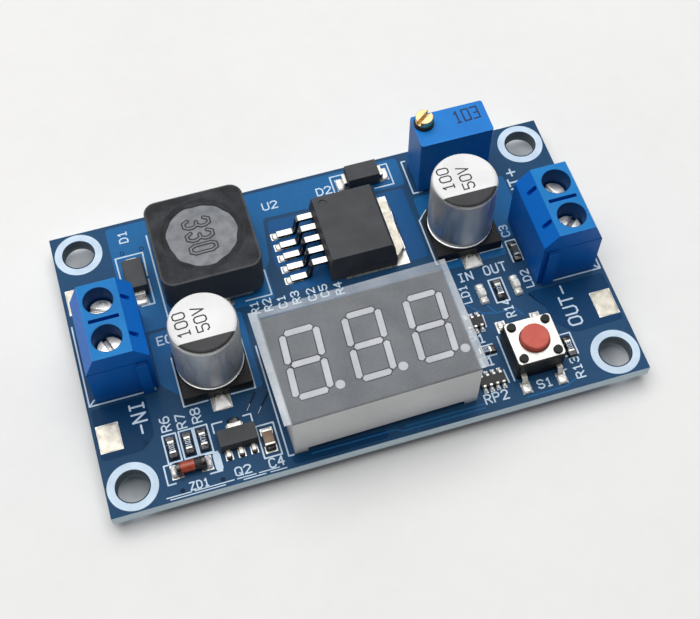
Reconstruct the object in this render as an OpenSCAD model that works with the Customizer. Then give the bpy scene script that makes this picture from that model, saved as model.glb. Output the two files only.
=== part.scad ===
// Boost converter module: a blue circuit board that carries two screw terminals,
// a shielded inductor, two can capacitors, a five-lead regulator, a multi-turn
// trimmer, a push button and a three-digit meter, with their small parts.
// Millimetres, +Z up, X along the long side, +Y towards the back edge.
// The origin is the centre of the board's underside, between the fixing holes.

/* [Board] */
// Length of the board along X
board_w = 66; // [65:0.5:76]
// Depth of the board along Y
board_d = 39; // [38.5:0.5:46]
// Thickness of the board
board_t = 1.6; // [1:0.2:2.4]
// Diameter of the four fixing holes
fix_hole_d = 3.9; // [2.5:0.1:4.2]
// Distance from a fixing hole's centre to both edges
fix_hole_inset = 3.2; // [3.1:0.1:3.6]
// Width of the white printed ring round a fixing hole
fix_ring_w = 1.05; // [0.5:0.05:1.1]
// Thickness of the white print
print_t = 0.03; // [0.02:0.01:0.05]
// Thickness of the tinned copper
tin_t = 0.05; // [0.03:0.01:0.1]
// Length of a soldered pin below the board
tail_l = 1.5; // [1:0.1:2.5]
// Width of the solder round a pin, at the board
solder_w = 0.6; // [0.4:0.05:0.8]
// Length of a wire pad along X
wire_pad_w = 2.7; // [2:0.1:3.5]
// Length of a wire pad along Y
wire_pad_d = 3.6; // [2.5:0.1:4.5]
// Distance from a wire pad to the board's side edge
wire_pad_edge = 0.5; // [0.3:0.1:1]

/* [Screw terminals] */
// Distance between the two poles
pole_pitch = 5.08; // [5:0.02:5.6]
// Width of the housing from its wire face to its inner face
term_w = 7.6; // [7.4:0.1:8.4]
// Height of the housing
term_h = 10; // [9.4:0.1:13]
// Distance from the wire face to the board's edge
term_edge = 1.3; // [0.5:0.1:1.6]
// Shift of the input terminal towards the back edge
input_shift = 0.35; // [-0.5:0.05:1]
// Shift of the output terminal towards the back edge
output_shift = 0.55; // [-0.5:0.05:1]
// Width of the flat top
term_top_w = 4.6; // [4.2:0.1:5]
// How far the top's outer edge stands back from the wire face
term_outer_run = 1.3; // [0.8:0.1:1.4]
// Height of the slope above the wire face
term_outer_drop = 3; // [1:0.1:3.4]
// Height of the slope on the inner side
term_inner_drop = 2; // [1:0.1:3]
// Distance from the wire face to the screw axis
screw_in = 3.45; // [3.3:0.05:3.7]
// Diameter of the screw well
well_d = 3.5; // [3.4:0.1:3.8]
// Diameter of the screw head
screw_head_d = 3.1; // [2.8:0.1:3.2]
// Height of the screw head
screw_head_h = 1.3; // [0.9:0.1:1.6]
// Diameter of the screw over its thread
screw_d = 2.5; // [2:0.1:2.6]
// Width of the screw's slot
screw_slot_w = 0.5; // [0.3:0.1:0.8]
// Rise of the screw and the wire guard when the pole is opened
screw_rise = 2.25; // [1.5:0.05:2.4]
// How far below the housing's top an opened screw's head stops
screw_sink = 0.25; // [0.1:0.05:0.6]
// Width of the contact frame
contact_w = 3.9; // [3.6:0.1:4.1]
// Sheet thickness of the contact frame
contact_t = 0.6; // [0.5:0.05:0.7]
// Clear height inside the contact frame
contact_gap = 3.1; // [3:0.1:3.4]
// Length of the contact frame along the wire
contact_l = 4.2; // [3.6:0.1:4.3]
// Width of the contact's square pin
contact_pin_w = 0.9; // [0.7:0.1:1.1]

/* [Capacitors] */
// Diameter of a can
can_d = 8.2; // [6.3:0.1:8.3]
// Height of a capacitor above the board
can_h = 10.9; // [7:0.1:12.5]
// Width of the square plastic base beyond the can
can_base_rim = 0.15; // [0.1:0.05:0.25]
// Length of a lead outside the base
can_lead_out = 1; // [0.4:0.1:1.2]

/* [Inductor] */
// Side of the square shield
coil_w = 12.4; // [11:0.1:12.6]
// Height of the inductor
coil_h = 7.1; // [5:0.1:9]
// Diameter of the round core's top flange
coil_core_d = 8.9; // [7.5:0.1:9.2]
// Gap between the core and the shield
coil_gap = 0.45; // [0.2:0.05:0.6]
// Corner radius of the shield
coil_corner_r = 1.6; // [0.8:0.1:2.4]

/* [Regulator] */
// Length of the moulded body along X
reg_l = 8.7; // [8:0.1:9.2]
// Width of the moulded body along Y
reg_w = 10.1; // [9.5:0.1:10.3]
// Height of the moulded body
reg_h = 4.45; // [4:0.05:4.8]
// Length of the metal tab outside the body
reg_tab_out = 1.3; // [1:0.1:1.6]
// Distance between neighbouring leads
reg_pitch = 1.7; // [1.5:0.02:1.8]
// Length of the leads outside the body
reg_lead_l = 5.3; // [4.5:0.1:5.6]
// Width of a lead
reg_lead_w = 0.8; // [0.6:0.05:0.9]

/* [Meter display] */
// Width of the display
disp_w = 22.5; // [22:0.1:23]
// Depth of the display
disp_d = 14; // [13.6:0.1:14.4]
// Height of the display above the board
disp_h = 8; // [7:0.1:10]
// Distance from the display to the board's front edge
disp_edge = 1.8; // [1.4:0.1:2.4]
// How far the display stands askew, in degrees
disp_turn = 1; // [0:0.1:1.5]
// Wall thickness of the display housing
disp_wall = 0.9; // [0.7:0.1:1]
// Thickness of the face that holds the segments
disp_face_t = 1.2; // [0.8:0.1:2]
// Height of the long notches between the corner feet
disp_notch_h = 0.8; // [0.4:0.1:1.4]
// Distance between neighbouring digits
digit_pitch = 7.5; // [7:0.1:7.6]
// Height of a digit
digit_h = 9; // [8:0.1:9.8]
// Width of a digit
digit_w = 4.8; // [4.4:0.1:5.2]
// Width of a segment
segment_w = 0.75; // [0.6:0.05:0.9]
// Slant of the digits in degrees
digit_slant = 4.5; // [0:0.5:8]
// Diameter of a decimal point
point_d = 1.1; // [0.8:0.1:1.3]
// Overhang of the clear film past the housing's sides
film_side = 0.9; // [0:0.1:1.2]
// Overhang of the clear film past the housing's back
film_back = 1.2; // [0:0.1:1.5]

/* [Trimmer] */
// Width of the trimmer
trim_w = 9.5; // [9.2:0.1:9.8]
// Depth of the trimmer
trim_d = 4.8; // [4.6:0.1:5]
// Height of the trimmer body above the board
trim_h = 10; // [9.5:0.1:11]
// Diameter of the brass adjusting screw
trim_screw_d = 2.2; // [2:0.05:2.3]
// Height of the adjusting screw above the body
trim_screw_out = 1.4; // [0.8:0.1:2]
// Distance from the adjusting screw to the body's left and back faces
trim_screw_inset = 1.4; // [1.35:0.05:1.5]
// Number of teeth on the wiper wheel
wheel_teeth = 30; // [24:1:36]
// Outer diameter of the wiper wheel
wheel_d = 5.6; // [5:0.1:5.8]

/* [Push button] */
// Side of the square switch
key_w = 6; // [5.8:0.1:6.3]
// Height of the switch's metal cover above the board
key_h = 3.5; // [3.3:0.1:5]
// Height of the button above the cover
key_button_out = 0.8; // [0.5:0.1:4]
// Diameter of the button
key_button_d = 3.5; // [3:0.1:3.7]
// Travel of the button
key_travel = 0.25; // [0.15:0.05:0.35]
// Distance between two legs on one side
key_leg_pitch = 4.5; // [4.2:0.1:4.6]
// Length of a leg outside the switch
key_leg_out = 2; // [1.4:0.1:2.2]

/* [Small parts] */
// Length of a diode's moulded body
diode_l = 4.3; // [4:0.1:4.6]
// Width of a diode's moulded body
diode_w = 2.6; // [2.3:0.1:2.9]
// Height of a diode
diode_h = 2.3; // [2:0.1:2.5]
// Length of a small chip
chip_l = 1.6; // [1.4:0.1:1.7]
// Width of a small chip
chip_w = 0.8; // [0.6:0.05:0.9]
// Height of a chip resistor
chip_h = 0.5; // [0.3:0.05:0.7]
// Length of the large chip capacitor
big_chip_l = 2; // [1.8:0.1:2.2]
// Width of the large chip capacitor
big_chip_w = 1.25; // [1:0.05:1.4]
// Length of a resistor array
array_l = 3.2; // [3:0.1:3.4]
// Length of the glass diode
glass_l = 3.5; // [3.2:0.1:3.7]
// Diameter of the glass diode's caps
glass_d = 1.5; // [1.3:0.1:1.6]
// Length of the power transistor's body
tran_l = 4.5; // [4.2:0.1:4.7]
// Width of the power transistor's body
tran_w = 2.4; // [2.2:0.1:2.6]
// Height of the power transistor
tran_h = 1.5; // [1.3:0.1:1.7]
// Length of the meter chip's body under the display
meter_l = 6.5; // [6:0.1:7]
// Width of the meter chip's body
meter_w = 4.4; // [4:0.1:4.6]

/* [Hidden] */
$fn = 64;

// Overlap of a cut past the face that it opens
cut = 0.2;
// Clearance of a fixed piece in its seat
seat = 0.05;
// Radial clearance of a turning piece in its bore
run = 0.05;
// Height of the board's top face, and of the tin on it
top_z = board_t;
pad_z = board_t + tin_t;

// Places of the parts. Parts beside the display keep their share of the room
// between it and the board's ends: spread is 1 at the room they were laid out for.
layout_room = 43.5;
spread = (board_w - disp_w) / layout_room;
front_y = -board_d / 2;
back_y = board_d / 2;
term_x = board_w / 2 - term_edge - screw_in;
term_inner_x = board_w / 2 - term_edge - term_w;
term_len = 2 * pole_pitch;
function term_shift(side) = side < 0 ? input_shift : output_shift;
disp_off = 0.2;
disp_at = [disp_off, front_y + disp_edge + disp_d / 2];
disp_left = disp_at[0] - disp_w / 2;
disp_right = disp_at[0] + disp_w / 2;
disp_back = disp_at[1] + disp_d / 2;
function left_x(out) = disp_left - spread * out;
function right_x(out) = disp_right + spread * out;
can_base_w = can_d + 2 * can_base_rim;
input_can_out = 6.45;
input_can_y = -3.85;
input_can_at = [left_x(input_can_out), input_can_y];
output_can_out = 6.05;
output_can_y = 6;
output_can_at = [right_x(output_can_out), output_can_y];
coil_x = -14.5;
coil_edge = 3.1;
coil_at = [coil_x, back_y - coil_edge - coil_w / 2];
reg_x = 4.05;
reg_edge = 6.2;
reg_at = [reg_x, back_y - reg_edge - reg_w / 2];
trim_out = 7.6;
trim_edge = 2;
trim_at = [right_x(trim_out), back_y - trim_edge - trim_d / 2];
key_out = 8.55;
key_edge_gap = 3.1;
key_at = [right_x(key_out), front_y + key_edge_gap + key_w / 2];
side_diode_gap = 1.6;
side_diode_at = [coil_x - coil_w / 2 - side_diode_gap - diode_w / 2, coil_at[1]];
back_diode_x = 7.9;
back_diode_edge = 1.35;
back_diode_at = [back_diode_x, back_y - back_diode_edge - diode_w / 2];
tran_out = 5.75;
tran_edge = 4.15;
tran_at = [left_x(tran_out), front_y + tran_edge + tran_w / 2];
glass_out = 11.75;
glass_edge = 3.45;
glass_at = [left_x(glass_out), front_y + glass_edge];
wire_pad_y = 9.6;

// Terminal levels above the board's top face
contact_low = 0.3;
contact_top_t = 1.5 * contact_t;
contact_floor = contact_low + contact_t;
contact_roof = contact_floor + contact_gap;
contact_top = contact_roof + contact_top_t;
guard_t = 0.35;
guard_front = screw_d / 2;
guard_low = contact_floor + seat;
screw_tip = guard_low + guard_t + seat;
screw_seat = max(term_h - screw_sink - screw_rise - screw_head_h, contact_top + seat);
chamber_back = contact_l / 2 + guard_t + 6 * seat;
term_step = 0.06;

// Trimmer: worm, wheel and element round the screw's axis, from the body's centre
trim_low = 0.4;
trim_roof = 1.2;
worm_d = trim_screw_d - 0.5;
worm_low = 1.4;
wheel_t = 1.2;
wheel_gap = 0.1;
wheel_pin_d = 1.4;
element_t = 0.6;
seal_t = 0.35;
screw_at = [-trim_w / 2 + trim_screw_inset, trim_d / 2 - trim_screw_inset];
wheel_at = [screw_at[0] + worm_d / 2 + wheel_gap + wheel_d / 2, trim_h / 2];
wheel_y = screw_at[1];
chamber_x0 = screw_at[0] - worm_d / 2 - wheel_gap;
chamber_x1 = wheel_at[0] + wheel_d / 2 + wheel_gap;
chamber_y0 = wheel_y - wheel_t / 2 - wheel_gap - element_t;
chamber_y1 = wheel_y + wheel_t / 2 + wheel_gap;
element_mid_y = chamber_y0 + element_t / 2;

// Places of the soldered through pins
disp_pin_inset = 1.92;
disp_row = disp_d - 2 * disp_pin_inset;
pin_pitch = 2.54;
pin_d = 0.5;
pin_hole_d = 0.9;
disp_pins = [for (row = [-1, 1]) for (i = [0 : 5]) if (row < 0 || i < 5)
    disp_at + [(i - 2.5) * pin_pitch, row * disp_row / 2]];
trim_pins = [for (i = [-1, 0, 1]) trim_at + [i * pin_pitch, element_mid_y]];
term_pins = [for (side = [-1, 1]) for (pole = [-1, 1])
    [side * term_x, term_shift(side) + pole * pole_pitch / 2]];

// Chips: place, turn about Z. A turn of 90 lays the chip along Y.
front_chip_outs = [13.4, 11.45, 9.65];
front_chip_edge = 6.45;
lamps_drop = 0.4;
lamps_y = disp_back - lamps_drop;
lamp_resistor_out = 7.85;
array_resistor_out = 3.2;
array_resistor_edge = 7.8;
key_resistor_out = 13.2;
key_resistor_edge = 5.4;
resistor_chips = concat(
    [for (out = front_chip_outs) [left_x(out), front_y + front_chip_edge, 90]],
    [[right_x(lamp_resistor_out), lamps_y, 90], [right_x(array_resistor_out), front_y + array_resistor_edge, 0],
        [right_x(key_resistor_out), front_y + key_resistor_edge, 90]]
);
hidden_chip_in = 2.2;
hidden_chip_y = disp_at[1] + disp_row / 2 - hidden_chip_in;
hidden_chip_pitch = 1.6;
hidden_chip_gap = 1;
hidden_chip_x = disp_left + disp_wall + hidden_chip_gap;
hidden_resistors = [for (i = [0, 1, 3, 6]) [hidden_chip_x + i * hidden_chip_pitch, hidden_chip_y, 90]];
hidden_capacitors = [for (i = [2, 4, 5]) [hidden_chip_x + i * hidden_chip_pitch, hidden_chip_y, 90]];
term_chip_gap = 0.95;
term_chip_y = 0.55;
small_capacitors = concat([[term_inner_x - term_chip_gap, term_chip_y, 90]], hidden_capacitors);
small_resistors = concat(resistor_chips, hidden_resistors);
big_capacitor_out = 2.35;
big_capacitor_edge = 4.2;
big_capacitor = [left_x(big_capacitor_out), front_y + big_capacitor_edge, 90];
side_array_out = 2.85;
side_array_edge = 11.86;
front_array_out = 2.75;
front_array_edge = 3.88;
arrays = [[right_x(side_array_out), front_y + side_array_edge, 0],
    [right_x(front_array_out), front_y + front_array_edge, 0]];
lamp_outs = [5.6, 10.1];
leds = [for (out = lamp_outs) [right_x(out), lamps_y, 90]];
meter_off = [5, -0.3];
meter_at = disp_at + meter_off;
chip_end = 0.3;
array_w = chip_l;
array_elements = 4;

// Colours as the photograph shows them
blue_board = [0.06, 0.25, 0.45];
white_print = [0.86, 0.9, 0.96];
tin = [0.84, 0.84, 0.82];
blue_plastic = [0.05, 0.42, 0.8];
black_plastic = [0.09, 0.09, 0.1];
steel = [0.72, 0.73, 0.74];
brass = [0.8, 0.62, 0.25];

module block(w, d, h) {
    translate([-w / 2, -d / 2, 0]) cube([w, d, h]);
}

module ring(outer_d, inner_d, h) {
    difference() {
        cylinder(d = outer_d, h = h);
        translate([0, 0, -cut]) cylinder(d = inner_d, h = h + 2 * cut);
    }
}

module rounded_plate(w, d, h, r) {
    linear_extrude(h) {
        square([w - 2 * r, d], center = true);
        square([w, d - 2 * r], center = true);
        for (x = [-1, 1]) for (y = [-1, 1])
            translate([x * (w / 2 - r), y * (d / 2 - r)]) circle(r);
    }
}

// A square block whose four upright edges are chamfered by c
module chamfered_block(w, d, h, c) {
    linear_extrude(h) polygon([
        [-w / 2 + c, -d / 2], [w / 2 - c, -d / 2], [w / 2, -d / 2 + c], [w / 2, d / 2 - c],
        [w / 2 - c, d / 2], [-w / 2 + c, d / 2], [-w / 2, d / 2 - c], [-w / 2, -d / 2 + c]
    ]);
}

// Extrudes an outline drawn in X and Z along Y, centred
module along_y(len) {
    rotate([90, 0, 0]) linear_extrude(len, center = true) children();
}

// Extrudes an outline drawn in Y and Z along X, centred
module along_x(len) {
    rotate([90, 0, 90]) linear_extrude(len, center = true) children();
}

// A gull-wing lead in X and Z: leaves the body at x = 0 and height h, and its
// foot lies on z = 0 from x = foot to x = len
module gull_lead(len, shoulder, foot, h, t, w) {
    along_y(w) polygon([
        [0, h], [shoulder, h], [foot, t], [len, t], [len, 0],
        [foot - t / 2, 0], [shoulder - t / 2, h - t], [0, h - t]
    ]);
}

module at_each(places) {
    for (p = places) translate([p[0], p[1], 0]) rotate([0, 0, len(p) > 2 ? p[2] : 0]) children();
}

// Board, printed rings, pads and solder

fix_places = [for (x = [-1, 1]) for (y = [-1, 1])
    [x * (board_w / 2 - fix_hole_inset), y * (board_d / 2 - fix_hole_inset)]];
fix_ring_d = fix_hole_d + 2 * fix_ring_w;
contact_hole_d = contact_pin_w * sqrt(2) + 0.2;

module board() {
    color(blue_board) difference() {
        block(board_w, board_d, board_t);
        at_each(fix_places) translate([0, 0, -cut]) cylinder(d = fix_hole_d, h = board_t + 2 * cut);
        at_each(concat(disp_pins, trim_pins))
            translate([0, 0, -cut]) cylinder(d = pin_hole_d, h = board_t + 2 * cut);
        at_each(term_pins) translate([0, 0, -cut]) cylinder(d = contact_hole_d, h = board_t + 2 * cut);
    }
}

module fixing_rings() {
    color(white_print) for (z = [-print_t, top_z]) translate([0, 0, z])
        at_each(fix_places) ring(fix_ring_d, fix_hole_d, print_t);
}

// A pad seen from above: centre and size
module pad(p, w, d) {
    translate([p[0], p[1], top_z]) block(w, d, tin_t);
}

// How far a pad reaches past what is soldered to it, on each side
pad_rim = 0.1;
chip_pad_l = 0.9;
can_pad_w = 2.4;
can_pad_in = 1.4;
can_pad_out = 0.8;
coil_pad_l = 2.2;
diode_pad_l = 2.2;
key_pad_l = 1.6;
tran_pad_l = 1.5;
glass_pad_l = 1.4;
meter_pad_l = 1.1;

// The pair of pads under the two ends of a chip
module chip_pads(places, l, w) {
    at_each(places) for (end = [-1, 1])
        pad([end * (l / 2 + chip_pad_l / 2 - chip_end), 0], chip_pad_l, w + 2 * pad_rim);
}

module solder_pads() {
    color(tin) {
        for (x = [-1, 1]) for (y = [-1, 1])
            pad([x * (board_w / 2 - wire_pad_edge - wire_pad_w / 2), y * wire_pad_y], wire_pad_w, wire_pad_d);
        for (p = [input_can_at, output_can_at]) for (end = [-1, 1])
            pad(p + [0, end * (can_base_w + can_lead_out + can_pad_out - can_pad_in) / 2],
                can_pad_w, can_lead_out + can_pad_out + can_pad_in);
        for (end = [-1, 1])
            pad(coil_at + [0, end * (coil_base_w - coil_pad_l / 2 + 2 * coil_clip_t + pad_rim) / 2],
                coil_clip_w + 8 * pad_rim, coil_pad_l);
        pad(reg_at + [(reg_tab_out + reg_tab_in) / 2 + reg_l / 2 - reg_tab_in, 0],
            reg_tab_out + reg_tab_in + 6 * pad_rim, reg_w + 5 * pad_rim);
        for (i = [-2 : 2]) pad(reg_at + [-reg_l / 2 - reg_lead_l + reg_foot_l / 2, i * reg_pitch],
            reg_foot_l + 5 * pad_rim, reg_lead_w + 2 * pad_rim);
        at_each(diode_places) for (end = [-1, 1])
            pad([end * (diode_l / 2 + diode_strap_t), 0], diode_pad_l, diode_strap_w + 4 * pad_rim);
        for (x = [-1, 1]) for (y = [-1, 1])
            pad(key_at + [x * key_leg_pitch / 2, y * (key_w / 2 + key_leg_out + pad_rim - key_pad_l / 2)],
                key_leg_w + 5 * pad_rim, key_pad_l);
        for (i = [-1, 0, 1])
            pad(tran_at + [i * tran_pitch, (tran_pad_l - tran_w) / 2 - tran_leg_out - 3 * pad_rim],
                tran_leg_w + 4 * pad_rim, tran_pad_l);
        pad(tran_at + [0, tran_w / 2 + pad_rim], tran_tab_w + 3 * pad_rim, tran_pad_l);
        for (end = [-1, 1]) pad(glass_at + [end * glass_l / 2, 0], glass_pad_l, glass_d + 3 * pad_rim);
        chip_pads(concat(small_resistors, small_capacitors, leds), chip_l, chip_w);
        chip_pads([big_capacitor], big_chip_l, big_chip_w);
        at_each(arrays) for (end = [-1, 1]) for (i = [0 : array_elements - 1])
            pad([array_x(i), end * (array_w + chip_pad_l) / 2 - end * array_end],
                array_cap_w + pad_rim / 2, chip_pad_l);
        at_each([meter_at]) for (end = [-1, 1]) for (i = [0 : meter_leads - 1])
            pad([meter_x(i), end * (meter_w / 2 + meter_lead_l + 2 * pad_rim - meter_pad_l / 2)],
                meter_lead_w + pad_rim, meter_pad_l);
    }
}

// A solder cone under the board round a pin
module solder_cone(w) {
    translate([0, 0, -tail_l]) cylinder(d1 = w + solder_w / 2, d2 = w + 2 * solder_w, h = tail_l);
}

solder_fit = 0.02;

module solder_joints() {
    color(tin) {
        at_each(concat(disp_pins, trim_pins)) difference() {
            solder_cone(pin_hole_d);
            translate([0, 0, -tail_l - cut]) cylinder(d = pin_d + 2 * solder_fit, h = tail_l + 2 * cut);
        }
        at_each(term_pins) difference() {
            solder_cone(contact_hole_d);
            translate([0, 0, -tail_l - cut])
                block(contact_pin_w + 2 * solder_fit, contact_pin_w + 2 * solder_fit, tail_l + 2 * cut);
        }
    }
}

// Screw terminals. Local frame: origin on the board's top face between the two
// screw axes, +X out towards the wire face.

module at_terminal(side) {
    translate([side * term_x, term_shift(side), top_z]) mirror([side < 0 ? 1 : 0, 0, 0]) children();
}

module at_pole(pole) {
    translate([0, pole * pole_pitch / 2, 0]) children();
}

face_x = screw_in;
inner_x = screw_in - term_w;
top_outer_x = face_x - term_outer_run;
top_inner_x = top_outer_x - term_top_w;
slot_on_slope_w = 0.6;
slot_on_slope_l = 1.7;
slot_on_slope_d = 0.7;
slot_on_slope_up = 0.3;
top_slot_w = 0.5;
tongue_root_w = 0.9;
tongue_tip_w = 1.4;
tongue_out = 0.55;
tongue_x = inner_x + 0.55 + tongue_tip_w / 2;
entry_lip = 0.3;
slope_angle = atan(term_inner_drop / (term_w - term_outer_run - term_top_w));

module terminal_outline() {
    polygon([
        [inner_x, 0], [face_x, 0], [face_x, term_h - term_outer_drop],
        [top_outer_x, term_h], [top_inner_x, term_h], [inner_x, term_h - term_inner_drop]
    ]);
}

// Dovetail that joins neighbouring housings, as an outline in X and Y
module dovetail(clear) {
    polygon([
        [-tongue_root_w / 2 - clear, -cut], [tongue_root_w / 2 + clear, -cut], [tongue_root_w / 2 + clear, 0],
        [tongue_tip_w / 2 + clear, tongue_out + clear], [-tongue_tip_w / 2 - clear, tongue_out + clear],
        [-tongue_root_w / 2 - clear, 0]
    ]);
}

module wire_entry() {
    h = contact_gap;
    w = contact_w - 2 * contact_t;
    translate([contact_l / 2 - cut, -w / 2, contact_floor]) cube([face_x - contact_l / 2 + 2 * cut, w, h]);
    translate([face_x - entry_lip, -w / 2 - entry_lip, contact_floor - entry_lip])
        cube([entry_lip + cut, w + 2 * entry_lip, h + 2 * entry_lip]);
}

module contact_chamber() {
    translate([-chamber_back, -contact_w / 2 - seat, -cut])
        cube([chamber_back + contact_l / 2 + seat, contact_w + 2 * seat, contact_top + seat + cut]);
}

module round_slot(l, w) {
    square([l - w, w], center = true);
    for (end = [-1, 1]) translate([end * (l - w) / 2, 0]) circle(d = w);
}

module terminal_housing() {
    tongue_h = term_h - term_outer_drop;
    difference() {
        union() {
            along_y(term_len) terminal_outline();
            translate([tongue_x, -term_len / 2, 0]) mirror([0, 1, 0]) linear_extrude(tongue_h) dovetail(0);
        }
        for (end = [-1, 1]) translate([0, end * term_len / 2, term_h - term_outer_drop])
            block(3 * term_w, 2 * term_step, term_h);
        translate([tongue_x, term_len / 2, -cut]) mirror([0, 1, 0])
            linear_extrude(tongue_h + cut) dovetail(seat);
        for (pole = [-1, 1]) at_pole(pole) {
            translate([0, 0, contact_top]) cylinder(d = well_d, h = term_h);
            contact_chamber();
            wire_entry();
            translate([(inner_x + top_inner_x) / 2, 0, term_h - term_inner_drop / 2])
                rotate([0, -slope_angle, 0]) translate([slot_on_slope_up, 0, -slot_on_slope_d])
                linear_extrude(2 * slot_on_slope_d) round_slot(slot_on_slope_l, slot_on_slope_w);
        }
        translate([(top_outer_x + top_inner_x) / 2, 0, term_h - 3 * top_slot_w])
            block(term_top_w - 2 * top_slot_w, top_slot_w, term_h);
    }
}

// The frame that a wire is clamped in: a square sheet tube with a tapped roof
// and one pin
module contact() {
    difference() {
        translate([0, 0, contact_low]) block(contact_l, contact_w, contact_top - contact_low);
        translate([0, 0, contact_floor]) block(contact_l + 2 * cut, contact_w - 2 * contact_t, contact_gap);
        translate([0, 0, contact_roof - cut]) cylinder(d = screw_d + 2 * run, h = contact_top_t + 2 * cut);
    }
    translate([0, 0, -top_z - tail_l])
        block(contact_pin_w, contact_pin_w, contact_low + top_z + tail_l);
}

// The bent leaf between the screw's tip and the wire
module wire_guard() {
    leaf_w = contact_w - 2 * contact_t - 4 * seat;
    back_x = -chamber_back + 2 * seat;
    translate([back_x, -leaf_w / 2, guard_low]) cube([guard_front - back_x, leaf_w, guard_t]);
    translate([back_x, -leaf_w / 2, guard_low])
        cube([guard_t, leaf_w, contact_top - guard_low - screw_rise - seat]);
}

module clamp_screw(turn) {
    rotate([0, 0, turn]) difference() {
        union() {
            translate([0, 0, screw_tip]) cylinder(d = screw_d, h = screw_seat - screw_tip);
            translate([0, 0, screw_seat]) cylinder(d = screw_head_d, h = screw_head_h);
        }
        translate([0, 0, screw_seat + screw_head_h / 2])
            block(screw_head_d + cut, screw_slot_w, screw_head_h);
    }
}

// How each screw's slot happens to stand, in degrees
input_plus_turn = 25;
input_minus_turn = 70;
output_plus_turn = 115;
output_minus_turn = 40;

module input_housing() { color(blue_plastic) at_terminal(-1) terminal_housing(); }
module output_housing() { color(blue_plastic) at_terminal(1) terminal_housing(); }
module input_contacts() { color(tin) at_terminal(-1) for (pole = [-1, 1]) at_pole(pole) contact(); }
module output_contacts() { color(tin) at_terminal(1) for (pole = [-1, 1]) at_pole(pole) contact(); }
module input_plus_guard() { color(steel) at_terminal(-1) at_pole(1) wire_guard(); }
module input_minus_guard() { color(steel) at_terminal(-1) at_pole(-1) wire_guard(); }
module output_plus_guard() { color(steel) at_terminal(1) at_pole(1) wire_guard(); }
module output_minus_guard() { color(steel) at_terminal(1) at_pole(-1) wire_guard(); }
module input_plus_screw() { color(steel) at_terminal(-1) at_pole(1) clamp_screw(input_plus_turn); }
module input_minus_screw() { color(steel) at_terminal(-1) at_pole(-1) clamp_screw(input_minus_turn); }
module output_plus_screw() { color(steel) at_terminal(1) at_pole(1) clamp_screw(output_plus_turn); }
module output_minus_screw() { color(steel) at_terminal(1) at_pole(-1) clamp_screw(output_minus_turn); }

// Can capacitors on their square plastic bases

can_base_t = 0.9;
can_base_wall = 0.8;
can_lead_w = 0.9;
can_lead_t = 0.3;
can_lead_in = 2.6;
can_top_r = 0.6;
can_foot_r = 0.35;
bead_d = 0.3;
bead_z = [0.75, 1.05, 1.4, 1.7];

module capacitor_can(p) {
    h = can_h - can_base_t;
    r = can_d / 2;
    translate([p[0], p[1], top_z + can_base_t]) rotate_extrude() polygon(concat(
        [[0, 0], [r - can_foot_r, 0], [r, can_foot_r]],
        [[r, bead_z[0]], [r - bead_d, bead_z[1]], [r - bead_d, bead_z[2]], [r, bead_z[3]]],
        [for (a = [0 : 15 : 90]) [r - can_top_r + can_top_r * cos(a), h - can_top_r + can_top_r * sin(a)]],
        [[0, h]]
    ));
}

module capacitor_base() {
    w = can_base_w / 2;
    c = 0.25 * can_base_w;
    difference() {
        translate([0, 0, tin_t]) linear_extrude(can_base_t - tin_t + can_base_wall)
            polygon([[-w, -w], [w, -w], [w, w - c], [w - c, w], [c - w, w], [-w, w - c]]);
        translate([0, 0, can_base_t]) cylinder(d = can_d + 2 * seat, h = can_base_wall + cut);
        for (end = [-1, 1]) translate([0, end * (can_base_w / 2 - can_lead_in / 2), 0])
            block(can_lead_w + 2 * seat, can_lead_in + 2 * seat, tin_t + can_lead_t + seat);
    }
}

module capacitor_leads() {
    for (end = [-1, 1])
        translate([0, end * (can_base_w / 2 + (can_lead_out - can_lead_in) / 2), tin_t])
        block(can_lead_w, can_lead_in + can_lead_out, can_lead_t);
}

module input_can() { color(tin) capacitor_can(input_can_at); }
module output_can() { color(tin) capacitor_can(output_can_at); }
module can_bases() {
    color(black_plastic) translate([0, 0, top_z]) at_each([input_can_at, output_can_at]) capacitor_base();
}
module can_leads() {
    color(tin) translate([0, 0, top_z]) at_each([input_can_at, output_can_at]) capacitor_leads();
}

// Shielded inductor: drum core, winding, square shield and two solder clips

coil_clip_w = 3;
coil_clip_t = 0.2;
coil_base_t = 0.9;
coil_flange_t = 1.1;
coil_post_d = 0.5 * coil_core_d;
coil_sink = 0.25;
coil_low = tin_t + coil_clip_t;
coil_clip_in = 2;
coil_base_w = coil_w - 0.6;
coil_winding_d = coil_core_d - 0.6;

module at_coil() {
    translate([coil_at[0], coil_at[1], top_z]) children();
}

module inductor_shield() {
    color(black_plastic) at_coil() translate([0, 0, coil_low + coil_base_t]) difference() {
        rounded_plate(coil_w, coil_w, coil_h - coil_low - coil_base_t, coil_corner_r);
        translate([0, 0, -cut]) cylinder(d = coil_core_d + 2 * coil_gap, h = coil_h);
    }
}

module inductor_core() {
    top = coil_h - coil_sink;
    color([0.3, 0.31, 0.32]) at_coil() {
        translate([0, 0, coil_low]) chamfered_block(coil_base_w, coil_base_w, coil_base_t, coil_corner_r);
        translate([0, 0, coil_low + coil_base_t]) cylinder(d = coil_post_d, h = top - coil_low - coil_base_t);
        translate([0, 0, top - coil_flange_t]) cylinder(d = coil_core_d, h = coil_flange_t);
    }
}

module inductor_winding() {
    low = coil_low + coil_base_t + seat;
    high = coil_h - coil_sink - coil_flange_t - seat;
    color([0.72, 0.4, 0.2]) at_coil() translate([0, 0, low])
        ring(coil_winding_d, coil_post_d + 2 * seat, high - low);
}

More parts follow.
